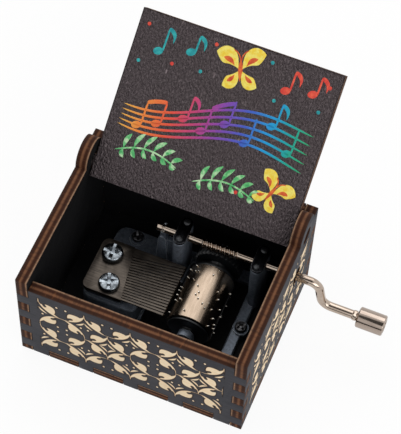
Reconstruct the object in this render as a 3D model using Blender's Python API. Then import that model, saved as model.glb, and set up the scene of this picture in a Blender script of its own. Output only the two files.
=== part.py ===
"""Hand crank music box: a finger-jointed plywood case with a pivoting lid,
and an eighteen-note movement whose worm on the crank turns a pinned drum.

Units are metres, +Z is up, +X points to the crank's side and -Y to the front.
The origin is the centre of the case's underside.
"""

from math import asin, atan2, ceil, cos, hypot, pi, radians, sin, sqrt

import bmesh
import bpy
from mathutils import Matrix, Vector

# Case, cut to leave room round the movement
LEFT_ROOM = 0.0072
RIGHT_ROOM = 0.0064
FRONT_ROOM = 0.0082
BACK_ROOM = 0.0044
SIDE_HEIGHT = 0.0365
BOARD = 0.0033
GLUE_GAP = 0.00012
FINGER_START = 0.002
FINGER = 0.0039
FLOOR_TAB = 0.0087
FLOOR_TAB_PITCH = 0.01305
FRONT_TAB_COUNT = 4
SIDE_TAB_COUNT = 3
EAR_RADIUS = 0.0051
CRANK_HOLE_RADIUS = 0.00285

# Lid
PIVOT_FROM_BACK = 0.0083
LID_SIDE_CLEARANCE = 0.0004
LID_TAIL_GAP = 0.0006
LID_TAB = 0.0034
LID_TAB_CLEARANCE = 0.0002
LID_STOP_GAP = 0.00015
LID_SEAT_GAP = 0.0002

# Crank shaft and worm
SHAFT_RADIUS = 0.00125
SHAFT_TAIL = 0.0057
BEARING_CLEARANCE = 0.0001
WORM_PITCH = 0.00128
WORM_STARTS = 2
WORM_LENGTH = 0.0104
WORM_PITCH_RADIUS = 0.00135
THREAD_RISE = 0.00027
THREAD_DEPTH = 0.0003
CLIP_GROOVE_FROM_END = 0.0019
CLIP_GROOVE_WIDTH = 0.0007
CLIP_GROOVE_DEPTH = 0.0004

# Crank arm and knob
CRANK_CORNER_FROM_CASE = 0.0063
CRANK_ARM = 0.009
CRANK_ARM_SLANT = 0.0018
CRANK_LEAN = radians(-0.5)
CRANK_BEND_RADIUS = 0.0032
KNOB_FROM_CASE = 0.0184
KNOB_LENGTH = 0.0076
KNOB_RADIUS = 0.0029
KNOB_CHAMFER = 0.0003
KNOB_RECESS_DEPTH = 0.001
KNOB_RECESS_CLEARANCE = 0.0002
KNOB_CLEARANCE = 0.00015
KNOB_END_FLOAT = 0.0002
STOP_WIDTH = 0.0013
STOP_RISE = 0.00035
PEEN_WIDTH = 0.0006
PEEN_RISE = 0.0005

# Shaft posts, caps and rivets
POST_WIDTH = 0.0035
POST_LENGTH = 0.0088
LEFT_POST_FROM_DRUM = 0.01085
RIGHT_POST_FROM_DRUM = 0.01145
CAP_THICKNESS = 0.0008
CAP_SEAT_GAP = 0.0001
RIVET_SPACING = 0.0055
RIVET_HEAD_RADIUS = 0.00105
RIVET_HEAD_HEIGHT = 0.0005
RIVET_SHANK_RADIUS = 0.0006
RIVET_SHANK_LENGTH = 0.0026
RIVET_HOLE_CLEARANCE = 0.0001
STOP_POST_FOOT = 0.004
STOP_POST_TOP = 0.0022
STOP_POST_DEPTH = 0.0028
STOP_POST_CLEARANCE = 0.0003
POST_WEB_THICKNESS = 0.0014
POST_WEB_BELOW_SHAFT = 0.0045

# Snap ring
CLIP_WIRE_RADIUS = 0.00028
CLIP_OPENING = radians(150)
CLIP_TURN = radians(-10)
CLIP_BEAD_RADIUS = 0.0006
CLIP_BEAD_CUT = radians(75)
CLIP_CLEARANCE = 0.00007

# Drum and worm wheel
WHEEL_TEETH = 32
WHEEL_THICKNESS = 0.003
WHEEL_RISE = 0.0001
WHEEL_DEPTH = 0.0004
WHEEL_HUB_RADIUS = 0.003
WHEEL_HUB_LENGTH = 0.0012
WHEEL_CORNER_SHARES = (0.29, 0.45, 0.55, 0.71)
DRUM_TO_WHEEL = 0.0035
DRUM_ROOM_BELOW = 0.001561
DRUM_RIM = 0.000748
DRUM_RADIUS = 0.0064
PIN_HEIGHT = 0.00085
PIN_FOOT_RADIUS = 0.00034
PIN_TIP_RADIUS = 0.00024
PIN_SINK = 0.0002
TUNE_BEATS = 26
SLOW_WAVES = 2
FAST_WAVES = 5
BASS_STEP = 7
BASS_START = 3
TURN_STEP = 5
TURN_START = 11
DRUM_CAP_RADIUS = 0.0058
DRUM_CAP_THICKNESS = 0.0011
DRUM_CAP_HUB = 0.0022
DRUM_CAP_GAP = 0.00015
AXLE_RADIUS = 0.001
AXLE_CLEARANCE = 0.0001
AXLE_OVERHANG = 0.0003
DRUM_POST_WIDTH = 0.0044
DRUM_POST_THICKNESS = 0.0018
DRUM_POST_CROWN = 0.0022
DRUM_END_FLOAT = 0.0002

# Comb
COMB_TEETH = 18
COMB_PITCH = 0.000912
TOOTH_WIDTH = 0.00064
TOOTH_ROOT_PITCH = 0.00079
TOOTH_ROOT_SHIFT = 0.00115
TOOTH_THICKNESS = 0.0007
TOOTH_THIN = 0.00042
TOOTH_DROP = 0.0001
TOOTH_POINT = 0.0006
TOOTH_TAPER_SHARE = 0.25
COMB_THICKNESS = 0.0016
COMB_ABOVE_AXLE = 0.0015
COMB_FROM_DRUM = 0.0314
COMB_INSET = 0.0003
COMB_REAR_WIDTH = 0.0087
COMB_FRONT_WIDTH = 0.0116
COMB_MARGIN = 0.0002
COMB_CORNER = 0.0018
COMB_TIP_CLEARANCE = 0.0002
WEIGHTED_TEETH = 8
WEIGHT_LENGTH = 0.0026
WEIGHT_DEPTH = 0.0016
WEIGHT_SETBACK = 0.0014
COMB_SEAT_GAP = 0.0001
COMB_SCREW_REAR_IN = 0.004
COMB_SCREW_REAR_FROM_BACK = 0.0044
COMB_SCREW_FRONT_IN = 0.0068
COMB_SCREW_FRONT_FROM_FRONT = 0.0033

# Comb screws
COMB_HEAD_RADIUS = 0.003
COMB_HEAD_HEIGHT = 0.0019
COMB_HEAD_ROUND = 0.0009
COMB_SCREW_RADIUS = 0.0014
COMB_SCREW_LENGTH = 0.0062
CROSS_LENGTH = 0.003
CROSS_WIDTH = 0.0006
CROSS_DEPTH = 0.0011
COMB_SCREW_TURNS = (radians(20), radians(-15))

# Cast frame
FRAME_PAST_RIGHT_POST = 0.00065
FRAME_FRONT_RIM = 0.00075
FRAME_BACK_RIM = 0.0014
FRAME_THICKNESS = 0.0018
FRAME_CORNER = 0.003
RIGHT_ARM_WIDTH = 0.0031
WINDOW_MARGIN = 0.0006
FRAME_SEAT_GAP = 0.00012
SEAT_WIDTH = 0.0159
SEAT_STEP = 0.002
SEAT_CORNER = 0.0025
SEAT_SETBACK = 0.0006
CAST_EDGE = 0.0003
CAST_EDGE_ANGLE = radians(50)
LEFT_SCREW_IN = 0.0062
LEFT_SCREW_FROM_BACK = 0.0026
RIGHT_SCREW_IN = 0.0007
RIGHT_SCREW_FROM_BACK = 0.0178
FRAME_BOSS_RADIUS = 0.0022
FRAME_BOSS_HEIGHT = 0.0006
FRAME_HEAD_RADIUS = 0.00175
FRAME_HEAD_HEIGHT = 0.0012
FRAME_HEAD_ROUND = 0.0006
FRAME_SCREW_BODY_RADIUS = 0.001
SCREW_CLEARANCE = 0.00012
SCREW_SEAT_GAP = 0.0001
SCREW_TIP_COVER = 0.0008
FRAME_CROSS_LENGTH = 0.0019
FRAME_CROSS_WIDTH = 0.00045
FRAME_CROSS_DEPTH = 0.0007
FRAME_SCREW_TURNS = (radians(30), radians(50))

# One overrun serves every cut, and points closer than this are one
OVERRUN = 0.001
SAME_POINT = 0.000001

# Places that follow from the sizes above, from the case inwards
DRUM_LENGTH = (COMB_TEETH - 1) * COMB_PITCH + 2 * DRUM_RIM
FRONT_POST_DEPTH = DRUM_POST_THICKNESS + DRUM_END_FLOAT + DRUM_CAP_THICKNESS + DRUM_CAP_GAP
SHAFT_FROM_DRUM = DRUM_TO_WHEEL + WHEEL_THICKNESS / 2
FRAME_PAST_SHAFT = POST_LENGTH / 2 + FRAME_BACK_RIM
FRAME_DEPTH = FRAME_FRONT_RIM + FRONT_POST_DEPTH + DRUM_LENGTH + SHAFT_FROM_DRUM + FRAME_PAST_SHAFT
FRAME_WIDTH = COMB_INSET + COMB_FROM_DRUM + RIGHT_POST_FROM_DRUM + FRAME_PAST_RIGHT_POST
CASE_SIDE = BOARD + (LEFT_ROOM + FRAME_WIDTH + RIGHT_ROOM) / 2
CASE_BACK = BOARD + (FRONT_ROOM + FRAME_DEPTH + BACK_ROOM) / 2
CASE_FRONT = -CASE_BACK
FRAME_LEFT_X = BOARD + LEFT_ROOM - CASE_SIDE
FRAME_RIGHT_X = FRAME_LEFT_X + FRAME_WIDTH
FRAME_FRONT = CASE_FRONT + BOARD + FRONT_ROOM
FRAME_BACK = FRAME_FRONT + FRAME_DEPTH
FRAME_UNDER = BOARD + FRAME_SEAT_GAP
FRAME_TOP = FRAME_UNDER + FRAME_THICKNESS
FRONT_TOP = SIDE_HEIGHT - BOARD - LID_SEAT_GAP
PIVOT_Y = CASE_BACK - PIVOT_FROM_BACK
PIVOT_Z = SIDE_HEIGHT - BOARD / 2
COMB_LEFT_X = FRAME_LEFT_X + COMB_INSET
DRUM_X = COMB_LEFT_X + COMB_FROM_DRUM
LEFT_POST_X = DRUM_X - LEFT_POST_FROM_DRUM
RIGHT_POST_X = DRUM_X + RIGHT_POST_FROM_DRUM
DRUM_FRONT = FRAME_FRONT + FRAME_FRONT_RIM + FRONT_POST_DEPTH
DRUM_BACK = DRUM_FRONT + DRUM_LENGTH
DRUM_MIDDLE = (DRUM_FRONT + DRUM_BACK) / 2
PIN_TIP_REACH = DRUM_RADIUS + PIN_HEIGHT
WHEEL_PITCH_RADIUS = WHEEL_TEETH * WORM_PITCH / (2 * pi)
DRUM_Z = FRAME_TOP + DRUM_ROOM_BELOW + PIN_TIP_REACH
SHAFT_Y = DRUM_BACK + SHAFT_FROM_DRUM
SHAFT_HEIGHT = DRUM_Z + WHEEL_PITCH_RADIUS + WORM_PITCH_RADIUS
WORM_LEAD = WORM_STARTS * WORM_PITCH
POST_TOP = SHAFT_HEIGHT + SHAFT_RADIUS + BEARING_CLEARANCE
FRONT_POST_BACK = DRUM_FRONT - FRONT_POST_DEPTH + DRUM_POST_THICKNESS
WHEEL_BACK = SHAFT_Y + WHEEL_THICKNESS / 2
REAR_POST_FRONT = WHEEL_BACK + WHEEL_HUB_LENGTH + DRUM_END_FLOAT
COMB_TOP = DRUM_Z + COMB_ABOVE_AXLE
COMB_UNDER = COMB_TOP - COMB_THICKNESS
COMB_ROOT_REAR_X = COMB_LEFT_X + COMB_REAR_WIDTH
COMB_ROOT_FRONT_X = COMB_LEFT_X + COMB_FRONT_WIDTH
COMB_HALF_DEPTH = ((COMB_TEETH - 1) * COMB_PITCH + TOOTH_WIDTH) / 2 + COMB_MARGIN
COMB_FRONT = DRUM_MIDDLE - COMB_HALF_DEPTH
COMB_BACK = DRUM_MIDDLE + COMB_HALF_DEPTH
COMB_SLOT = COMB_PITCH - TOOTH_WIDTH
COMB_SCREW_REAR = (COMB_LEFT_X + COMB_SCREW_REAR_IN, COMB_BACK - COMB_SCREW_REAR_FROM_BACK)
COMB_SCREW_FRONT = (COMB_LEFT_X + COMB_SCREW_FRONT_IN, COMB_FRONT + COMB_SCREW_FRONT_FROM_FRONT)
FRAME_SCREW_LEFT = (FRAME_LEFT_X + LEFT_SCREW_IN, FRAME_BACK - LEFT_SCREW_FROM_BACK)
FRAME_SCREW_RIGHT = (FRAME_RIGHT_X - RIGHT_SCREW_IN, FRAME_BACK - RIGHT_SCREW_FROM_BACK)
SHAFT_LEFT_X = LEFT_POST_X - POST_WIDTH / 2 - SHAFT_TAIL
CLIP_GROOVE_X = SHAFT_LEFT_X + CLIP_GROOVE_FROM_END
CLIP_RING_RADIUS = SHAFT_RADIUS - CLIP_GROOVE_DEPTH + CLIP_CLEARANCE + CLIP_WIRE_RADIUS
CLIP_REACH = SHAFT_RADIUS + CLIP_CLEARANCE + CLIP_BEAD_RADIUS
CRANK_DOWN = Vector((0, sin(CRANK_LEAN), -cos(CRANK_LEAN)))
HANDLE_AXIS = Vector((0, SHAFT_Y, SHAFT_HEIGHT)) + CRANK_ARM * CRANK_DOWN
KNOB_START_X = CASE_SIDE + KNOB_FROM_CASE
KNOB_FLOOR_X = KNOB_START_X + KNOB_LENGTH - KNOB_RECESS_DEPTH
WIRE_END_X = KNOB_FLOOR_X + KNOB_END_FLOAT + PEEN_WIDTH

# Facets
ROUND_SEGMENTS = 32
SCREW_SEGMENTS = 24
SMALL_SEGMENTS = 16
DRUM_SEGMENTS = 64
WIRE_SEGMENTS = 16
PIN_SEGMENTS = 6
BEND_STEPS = 7
THREAD_STEPS = 5
WHEEL_STEPS = 2
CORNER_STEPS = 4
HEAD_STEPS = 3
EAR_STEPS = 20


# Helpers for shapes
def new_object(name, mesh):
    """Links a mesh to the scene as an object with the same name."""
    obj = bpy.data.objects.new(name, mesh)
    bpy.context.scene.collection.objects.link(obj)
    return obj


def object_from_bmesh(name, shape):
    """Turns a bmesh into an object whose faces all point out."""
    bmesh.ops.recalc_face_normals(shape, faces=shape.faces)
    mesh = bpy.data.meshes.new(name)
    shape.to_mesh(mesh)
    shape.free()
    return new_object(name, mesh)


def prism(name, outline, low, high, axis="Z"):
    """Extrudes a flat outline from low to high along one axis.

    The outline's two coordinates are (x, y) along Z, (x, z) along Y and (y, z) along X.
    """
    places = {
        "Z": lambda a, b, c: (a, b, c),
        "Y": lambda a, b, c: (a, c, b),
        "X": lambda a, b, c: (c, a, b),
    }
    place = places[axis]
    shape = bmesh.new()
    corners = [shape.verts.new(place(a, b, low)) for a, b in outline]
    face = shape.faces.new(corners)
    grown = bmesh.ops.extrude_face_region(shape, geom=[face])
    raised = [item for item in grown["geom"] if isinstance(item, bmesh.types.BMVert)]
    step = Vector(place(0, 0, high)) - Vector(place(0, 0, low))
    bmesh.ops.translate(shape, verts=raised, vec=step)
    return object_from_bmesh(name, shape)


def arc(centre_a, centre_b, radius, start, end, steps):
    """Points along a circular arc, from the start angle to the end angle."""
    points = []
    for step in range(steps + 1):
        angle = start + (end - start) * step / steps
        points.append((centre_a + radius * cos(angle), centre_b + radius * sin(angle)))
    return points


def rounded_box(left, right, low, high, radius):
    """Outline of a rectangle with four round corners."""
    outline = []
    corners = ((right, low, -pi / 2), (right, high, 0), (left, high, pi / 2), (left, low, pi))
    for a, b, start in corners:
        centre_a = a - radius if a == right else a + radius
        centre_b = b - radius if b == high else b + radius
        outline += arc(centre_a, centre_b, radius, start, start + pi / 2, CORNER_STEPS)
    return outline


def stadium(centre_a, centre_b, width, length):
    """Outline of a strip with half-round ends, long along its second coordinate."""
    radius = width / 2
    reach = length / 2 - radius
    steps = 2 * CORNER_STEPS
    far_end = arc(centre_a, centre_b + reach, radius, 0, pi, steps)
    near_end = arc(centre_a, centre_b - reach, radius, pi, 2 * pi, steps)
    return far_end + near_end


def turned(name, profile, centre, axis="Z", segments=ROUND_SEGMENTS, bored=False):
    """Revolves (radius, distance along the axis) points.

    A bored profile closes on itself round its bore, and any other ends in two flat faces.
    """
    turns = {
        "X": Matrix.Rotation(pi / 2, 4, "Y"),
        "Y": Matrix.Rotation(-pi / 2, 4, "X"),
        "Z": Matrix.Identity(4),
    }
    shape = bmesh.new()
    rings = []
    for radius, along in profile:
        ring = []
        for index in range(segments):
            angle = 2 * pi * index / segments
            ring.append(shape.verts.new((radius * cos(angle), radius * sin(angle), along)))
        rings.append(ring)
    sleeve(shape, rings + rings[:1] if bored else rings)
    if not bored:
        shape.faces.new(rings[0])
        shape.faces.new(rings[-1])
    obj = object_from_bmesh(name, shape)
    obj.data.transform(Matrix.Translation(centre) @ turns[axis])
    return obj


def sleeve(shape, rings):
    """Faces between each ring of points and the next."""
    for ring, other in zip(rings, rings[1:]):
        for index in range(len(ring)):
            follow = (index + 1) % len(ring)
            shape.faces.new((ring[index], ring[follow], other[follow], other[index]))


def rod(name, radius, start, end, centre, axis="Z", segments=ROUND_SEGMENTS):
    """A plain round bar between two distances along its axis."""
    return turned(name, [(radius, start), (radius, end)], centre, axis, segments)


def screw_hole(place, radius, low, high):
    x, y = place
    return rod(f"hole_{x}_{y}", radius, low, high, (x, y, 0), segments=SMALL_SEGMENTS)


def bake(obj):
    """Replaces an object's mesh by what its modifiers make of it."""
    graph = bpy.context.evaluated_depsgraph_get()
    mesh = bpy.data.meshes.new_from_object(obj.evaluated_get(graph))
    obj.modifiers.clear()
    obj.data = mesh
    mesh.name = obj.name


def combine(obj, tools, operation):
    """Cuts away or adds the tools, and removes them."""
    for tool in tools:
        modifier = obj.modifiers.new(tool.name, "BOOLEAN")
        modifier.operation = operation
        modifier.solver = "EXACT"
        modifier.object = tool
    bake(obj)
    for tool in tools:
        bpy.data.objects.remove(tool)


def cut(obj, *tools):
    combine(obj, tools, "DIFFERENCE")


def add(obj, *tools):
    combine(obj, tools, "UNION")


def soften(obj, width):
    """Takes the sharpness off a casting's edges."""
    modifier = obj.modifiers.new("edges", "BEVEL")
    modifier.width = width
    modifier.segments = 1
    modifier.limit_method = "ANGLE"
    modifier.angle_limit = CAST_EDGE_ANGLE
    bake(obj)
    return obj


def paint(obj, colour, roughness, metallic, smooth_angle=radians(30)):
    """Gives an object its own material, and smooth shading between its sharp edges."""
    material = bpy.data.materials.new(obj.name)
    material.use_nodes = True
    surface = material.node_tree.nodes["Principled BSDF"]
    surface.inputs["Base Color"].default_value = (*colour, 1)
    surface.inputs["Roughness"].default_value = roughness
    surface.inputs["Metallic"].default_value = metallic
    obj.data.materials.clear()
    obj.data.materials.append(material)
    obj.data.shade_smooth()
    obj.data.set_sharp_from_angle(angle=smooth_angle)


def place_origin(obj, origin):
    """Moves an object's origin without moving its surface."""
    obj.data.transform(Matrix.Translation(-Vector(origin)))
    obj.location = origin


# Case boards
PAINTED_WOOD = ((0.07, 0.07, 0.082), 0.75, 0)
LID_WOOD = ((0.1, 0.085, 0.085), 0.7, 0)


def finger_bounds():
    """Heights where the corner changes hands, in as many pairs as fit below the front's top."""
    pairs = int(((FRONT_TOP - FINGER_START) / FINGER + 1) / 2)
    return [FINGER_START + FINGER * index for index in range(2 * pairs)]


def stepped(start, end, bounds, owns_first, full, cut_back):
    """A board's edge as (along, offset) points, stepping at each bound.

    Where the board owns the corner its edge stands at full, elsewhere at cut_back,
    and each step gives half the glue gap away.
    """
    points = []
    owns = owns_first
    at = start
    for bound in bounds:
        stop = bound - GLUE_GAP / 2 if owns else bound + GLUE_GAP / 2
        offset = full if owns else cut_back
        points += [(at, offset), (stop, offset)]
        at = stop
        owns = not owns
    offset = full if owns else cut_back
    return points + [(at, offset), (end, offset)]


def tab_bounds(count):
    """Both ends of each floor tab along a board, left to right."""
    bounds = []
    for index in range(count):
        middle = (index - (count - 1) / 2) * FLOOR_TAB_PITCH
        bounds += [middle - FLOOR_TAB / 2, middle + FLOOR_TAB / 2]
    return bounds


def tidy_outline(outline):
    """Drops a point that repeats the one before it."""
    kept = []
    for point in outline:
        if not kept or hypot(point[0] - kept[-1][0], point[1] - kept[-1][1]) > SAME_POINT:
            kept.append(point)
    if hypot(kept[0][0] - kept[-1][0], kept[0][1] - kept[-1][1]) < SAME_POINT:
        kept.pop()
    return kept


def end_board_outline(top):
    """Front or back board seen from the front: floor notches below, fingers at both sides."""
    inner = CASE_SIDE - BOARD - GLUE_GAP
    below = stepped(-inner, inner, tab_bounds(FRONT_TAB_COUNT), True, 0, BOARD + GLUE_GAP)
    side = stepped(0, top, finger_bounds(), False, CASE_SIDE, inner)
    right = [(offset, height) for height, offset in side]
    left = [(-offset, height) for height, offset in reversed(side)]
    return below + right + left


def end_board(name, outer_face, inner_face, top):
    low, high = sorted((outer_face, inner_face))
    board = prism(name, tidy_outline(end_board_outline(top)), low, high, "Y")
    paint(board, *PAINTED_WOOD)
    return board


def side_board_outline():
    """Side board seen from the right: notches, fingers front and back, and the lid's ear."""
    inner = CASE_BACK - BOARD - GLUE_GAP
    bottom = stepped(CASE_FRONT, CASE_BACK, tab_bounds(SIDE_TAB_COUNT), True, 0, BOARD + GLUE_GAP)
    edge = stepped(0, SIDE_HEIGHT, finger_bounds(), True, CASE_BACK, inner)
    back = [(offset, height) for height, offset in edge]
    front = [(-offset, height) for height, offset in reversed(edge)]
    ear = arc(PIVOT_Y, SIDE_HEIGHT, EAR_RADIUS, 0, pi, EAR_STEPS)
    return bottom + back + ear + front


def side_board(name, outer_face, inner_face, crank_hole):
    low, high = sorted((outer_face, inner_face))
    board = prism(name, tidy_outline(side_board_outline()), low, high, "X")
    pivot_radius = hypot(BOARD / 2, LID_TAB / 2) + LID_TAB_CLEARANCE
    centre = (0, PIVOT_Y, PIVOT_Z)
    holes = [rod("pivot_hole", pivot_radius, low - OVERRUN, high + OVERRUN, centre, "X")]
    if crank_hole:
        centre = (0, SHAFT_Y, SHAFT_HEIGHT)
        holes.append(rod("crank_hole", CRANK_HOLE_RADIUS, low - OVERRUN, high + OVERRUN, centre, "X"))
    cut(board, *holes)
    paint(board, *PAINTED_WOOD)
    return board


def bottom_board():
    """Floor board with tabs through all four walls, and pilot holes for the frame screws."""
    x_reach = CASE_SIDE - BOARD - GLUE_GAP
    y_reach = CASE_BACK - BOARD - GLUE_GAP
    front = stepped(-x_reach, x_reach, tab_bounds(FRONT_TAB_COUNT), False, CASE_BACK, y_reach)
    right = stepped(-y_reach, y_reach, tab_bounds(SIDE_TAB_COUNT), False, CASE_SIDE, x_reach)
    outline = [(along, -offset) for along, offset in front]
    outline += [(offset, along) for along, offset in right]
    outline += [(along, offset) for along, offset in reversed(front)]
    outline += [(-offset, along) for along, offset in reversed(right)]
    board = prism("bottom_panel", tidy_outline(outline), 0, BOARD, "Z")
    pilots = []
    for place in (FRAME_SCREW_LEFT, FRAME_SCREW_RIGHT):
        radius = FRAME_SCREW_BODY_RADIUS + SCREW_CLEARANCE
        low = SCREW_TIP_COVER - SCREW_CLEARANCE
        pilots.append(screw_hole(place, radius, low, BOARD + OVERRUN))
    cut(board, *pilots)
    paint(board, *PAINTED_WOOD)
    return board


def lid_open_angle():
    """Turn from closed at which the lid's outer face meets the back board's top inner edge."""
    reach = PIVOT_FROM_BACK - BOARD
    rise = SIDE_HEIGHT - PIVOT_Z
    span = hypot(reach, rise)
    return pi - asin((BOARD / 2 + LID_STOP_GAP) / span) - atan2(rise, reach)


def lid():
    """Board with a tab each side, drawn closed about its pivot and then swung open."""
    half = CASE_SIDE - BOARD - LID_SIDE_CLEARANCE
    tab_end = CASE_SIDE - LID_SIDE_CLEARANCE
    front = CASE_FRONT - PIVOT_Y
    tail = PIVOT_FROM_BACK - BOARD - LID_TAIL_GAP
    tab = LID_TAB / 2
    right = [
        (half, front), (half, -tab), (tab_end, -tab), (tab_end, tab), (half, tab), (half, tail),
    ]
    left = [(-x, y) for x, y in reversed(right)]
    board = prism("lid", right + left, -BOARD / 2, BOARD / 2, "Z")
    board.data.transform(Matrix.Rotation(-lid_open_angle(), 4, "X"))
    board.location = (0, PIVOT_Y, PIVOT_Z)
    paint(board, *LID_WOOD)
    return board


# Cast frame
CAST_METAL = ((0.05, 0.055, 0.062), 0.45, 0.9)


def comb_tooth_y(index):
    """Middle of a comb tooth, counted from the rear, over its own row of pins."""
    return DRUM_MIDDLE + ((COMB_TEETH - 1) / 2 - index) * COMB_PITCH


def comb_outline(shrink):
    """Plan of the comb's solid part, set in from its edges by shrink."""
    centre_x = COMB_LEFT_X + COMB_CORNER
    low = COMB_FRONT + COMB_CORNER
    high = COMB_BACK - COMB_CORNER
    radius = COMB_CORNER - shrink
    outline = arc(centre_x, high, radius, pi / 2, pi, CORNER_STEPS)
    outline += arc(centre_x, low, radius, pi, 3 * pi / 2, CORNER_STEPS)
    outline.append((COMB_ROOT_FRONT_X - shrink, COMB_FRONT + shrink))
    outline.append((COMB_ROOT_REAR_X - shrink, COMB_BACK - shrink))
    return outline


def shaft_post(name, x):
    """Bearing post with half-round ends, taller than the base so that they join well."""
    outline = stadium(x, SHAFT_Y, POST_WIDTH, POST_LENGTH)
    return soften(prism(name, outline, FRAME_UNDER + CAST_EDGE, POST_TOP), CAST_EDGE)


def stop_post():
    """Tapered post under the snap ring."""
    top = SHAFT_HEIGHT - CLIP_REACH - CLIP_BEAD_RADIUS - STOP_POST_CLEARANCE
    crown = arc(CLIP_GROOVE_X, top - STOP_POST_TOP / 2, STOP_POST_TOP / 2, 0, pi, 2 * CORNER_STEPS)
    foot_left = (CLIP_GROOVE_X - STOP_POST_FOOT / 2, FRAME_UNDER + CAST_EDGE)
    foot_right = (CLIP_GROOVE_X + STOP_POST_FOOT / 2, FRAME_UNDER + CAST_EDGE)
    low = SHAFT_Y - STOP_POST_DEPTH / 2
    return prism("stop_post", [foot_right] + crown + [foot_left], low, low + STOP_POST_DEPTH, "Y")


def post_web():
    """Upright web that ties the stop post to the left bearing post."""
    top = SHAFT_HEIGHT - POST_WEB_BELOW_SHAFT
    low = FRAME_UNDER + CAST_EDGE
    outline = [(CLIP_GROOVE_X, low), (LEFT_POST_X, low), (LEFT_POST_X, top), (CLIP_GROOVE_X, top)]
    near = SHAFT_Y - POST_WEB_THICKNESS / 2
    return prism("post_web", outline, near, near + POST_WEB_THICKNESS, "Y")


def drum_post(name, front):
    """Post with a round crown that carries one end of the drum's axle."""
    crown = arc(DRUM_X, DRUM_Z, DRUM_POST_CROWN, 0, pi, 2 * CORNER_STEPS)
    half = DRUM_POST_WIDTH / 2
    foot = [(DRUM_X - half, FRAME_UNDER + CAST_EDGE), (DRUM_X + half, FRAME_UNDER + CAST_EDGE)]
    return prism(name, crown + foot, front, front + DRUM_POST_THICKNESS, "Y")


def channel(x):
    """Round-bottomed slot in a shaft post, open at its top."""
    radius = SHAFT_RADIUS + BEARING_CLEARANCE
    outline = arc(SHAFT_Y, SHAFT_HEIGHT, radius, pi, 2 * pi, ROUND_SEGMENTS // 2)
    outline += [(SHAFT_Y + radius, POST_TOP + OVERRUN), (SHAFT_Y - radius, POST_TOP + OVERRUN)]
    low = x - POST_WIDTH / 2 - OVERRUN
    high = x + POST_WIDTH / 2 + OVERRUN
    return prism(f"channel_{x}", outline, low, high, "X")


def rivet_places(x):
    return [(x, SHAFT_Y - RIVET_SPACING / 2), (x, SHAFT_Y + RIVET_SPACING / 2)]


def frame_window():
    """Open part of the base, below the drum and the worm wheel and clear of every post."""
    left = COMB_LEFT_X + SEAT_WIDTH + WINDOW_MARGIN
    past_post = LEFT_POST_X + POST_WIDTH / 2 + WINDOW_MARGIN
    right = FRAME_RIGHT_X - RIGHT_ARM_WIDTH
    front = FRONT_POST_BACK + WINDOW_MARGIN
    before_post = SHAFT_Y - POST_LENGTH / 2 - WINDOW_MARGIN
    back = REAR_POST_FRONT - WINDOW_MARGIN
    return [
        (left, front), (right, front), (right, back),
        (past_post, back), (past_post, before_post), (left, before_post),
    ]


def movement_frame():
    """Open base, comb seat and posts as one casting, with the holes that the other pieces use."""
    base_outline = rounded_box(FRAME_LEFT_X, FRAME_RIGHT_X, FRAME_FRONT, FRAME_BACK, FRAME_CORNER)
    frame = prism("movement_frame", base_outline, FRAME_UNDER, FRAME_TOP)
    cut(frame, prism("window", frame_window(), FRAME_UNDER - OVERRUN, FRAME_TOP + OVERRUN))
    soften(frame, CAST_EDGE)

    seat_top = COMB_UNDER - COMB_SEAT_GAP
    seat_right = COMB_LEFT_X + SEAT_WIDTH
    seat_front = COMB_FRONT - SEAT_SETBACK
    block_outline = rounded_box(COMB_LEFT_X, seat_right, seat_front, COMB_BACK, SEAT_CORNER)
    block = prism("block", block_outline, FRAME_UNDER + CAST_EDGE, seat_top - SEAT_STEP)
    pad = prism("pad", comb_outline(SEAT_SETBACK), FRAME_TOP + SEAT_STEP, seat_top)
    posts = [shaft_post("post_left", LEFT_POST_X), shaft_post("post_right", RIGHT_POST_X)]
    drum_posts = [
        drum_post("drum_post_front", FRONT_POST_BACK - DRUM_POST_THICKNESS),
        drum_post("drum_post_rear", REAR_POST_FRONT),
    ]
    bosses = []
    for index, (x, y) in enumerate((FRAME_SCREW_LEFT, FRAME_SCREW_RIGHT)):
        low = FRAME_UNDER + CAST_EDGE
        high = FRAME_TOP + FRAME_BOSS_HEIGHT
        bosses.append(rod(f"boss_{index}", FRAME_BOSS_RADIUS, low, high, (x, y, 0)))
    add(frame, soften(block, CAST_EDGE), pad, *posts, stop_post(), post_web(), *drum_posts, *bosses)

    holes = [channel(LEFT_POST_X), channel(RIGHT_POST_X)]
    axle_hole = AXLE_RADIUS + AXLE_CLEARANCE
    low = FRONT_POST_BACK - DRUM_POST_THICKNESS - OVERRUN
    high = REAR_POST_FRONT + DRUM_POST_THICKNESS + OVERRUN
    holes.append(rod("axle_hole", axle_hole, low, high, (DRUM_X, 0, DRUM_Z), "Y"))
    for place in (FRAME_SCREW_LEFT, FRAME_SCREW_RIGHT):
        radius = FRAME_SCREW_BODY_RADIUS + SCREW_CLEARANCE
        holes.append(screw_hole(place, radius, 0, POST_TOP + OVERRUN))
    for place in (COMB_SCREW_REAR, COMB_SCREW_FRONT):
        low = COMB_TOP + SCREW_SEAT_GAP - COMB_SCREW_LENGTH - SCREW_CLEARANCE
        holes.append(screw_hole(place, COMB_SCREW_RADIUS + SCREW_CLEARANCE, low, COMB_TOP))
    for x in (LEFT_POST_X, RIGHT_POST_X):
        for place in rivet_places(x):
            low = rivet_shank_end() - RIVET_HOLE_CLEARANCE
            radius = RIVET_SHANK_RADIUS + RIVET_HOLE_CLEARANCE
            holes.append(screw_hole(place, radius, low, POST_TOP + OVERRUN))
    cut(frame, *holes)
    paint(frame, *CAST_METAL)
    return frame


# Comb
def comb_tip_x():
    """Where the teeth end, just clear of the circle that the pins' tips run on."""
    reach = PIN_TIP_REACH + COMB_TIP_CLEARANCE
    height = COMB_ABOVE_AXLE - TOOTH_DROP
    return DRUM_X - sqrt(reach * reach - (height - TOOTH_THICKNESS / 2) ** 2)


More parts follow.
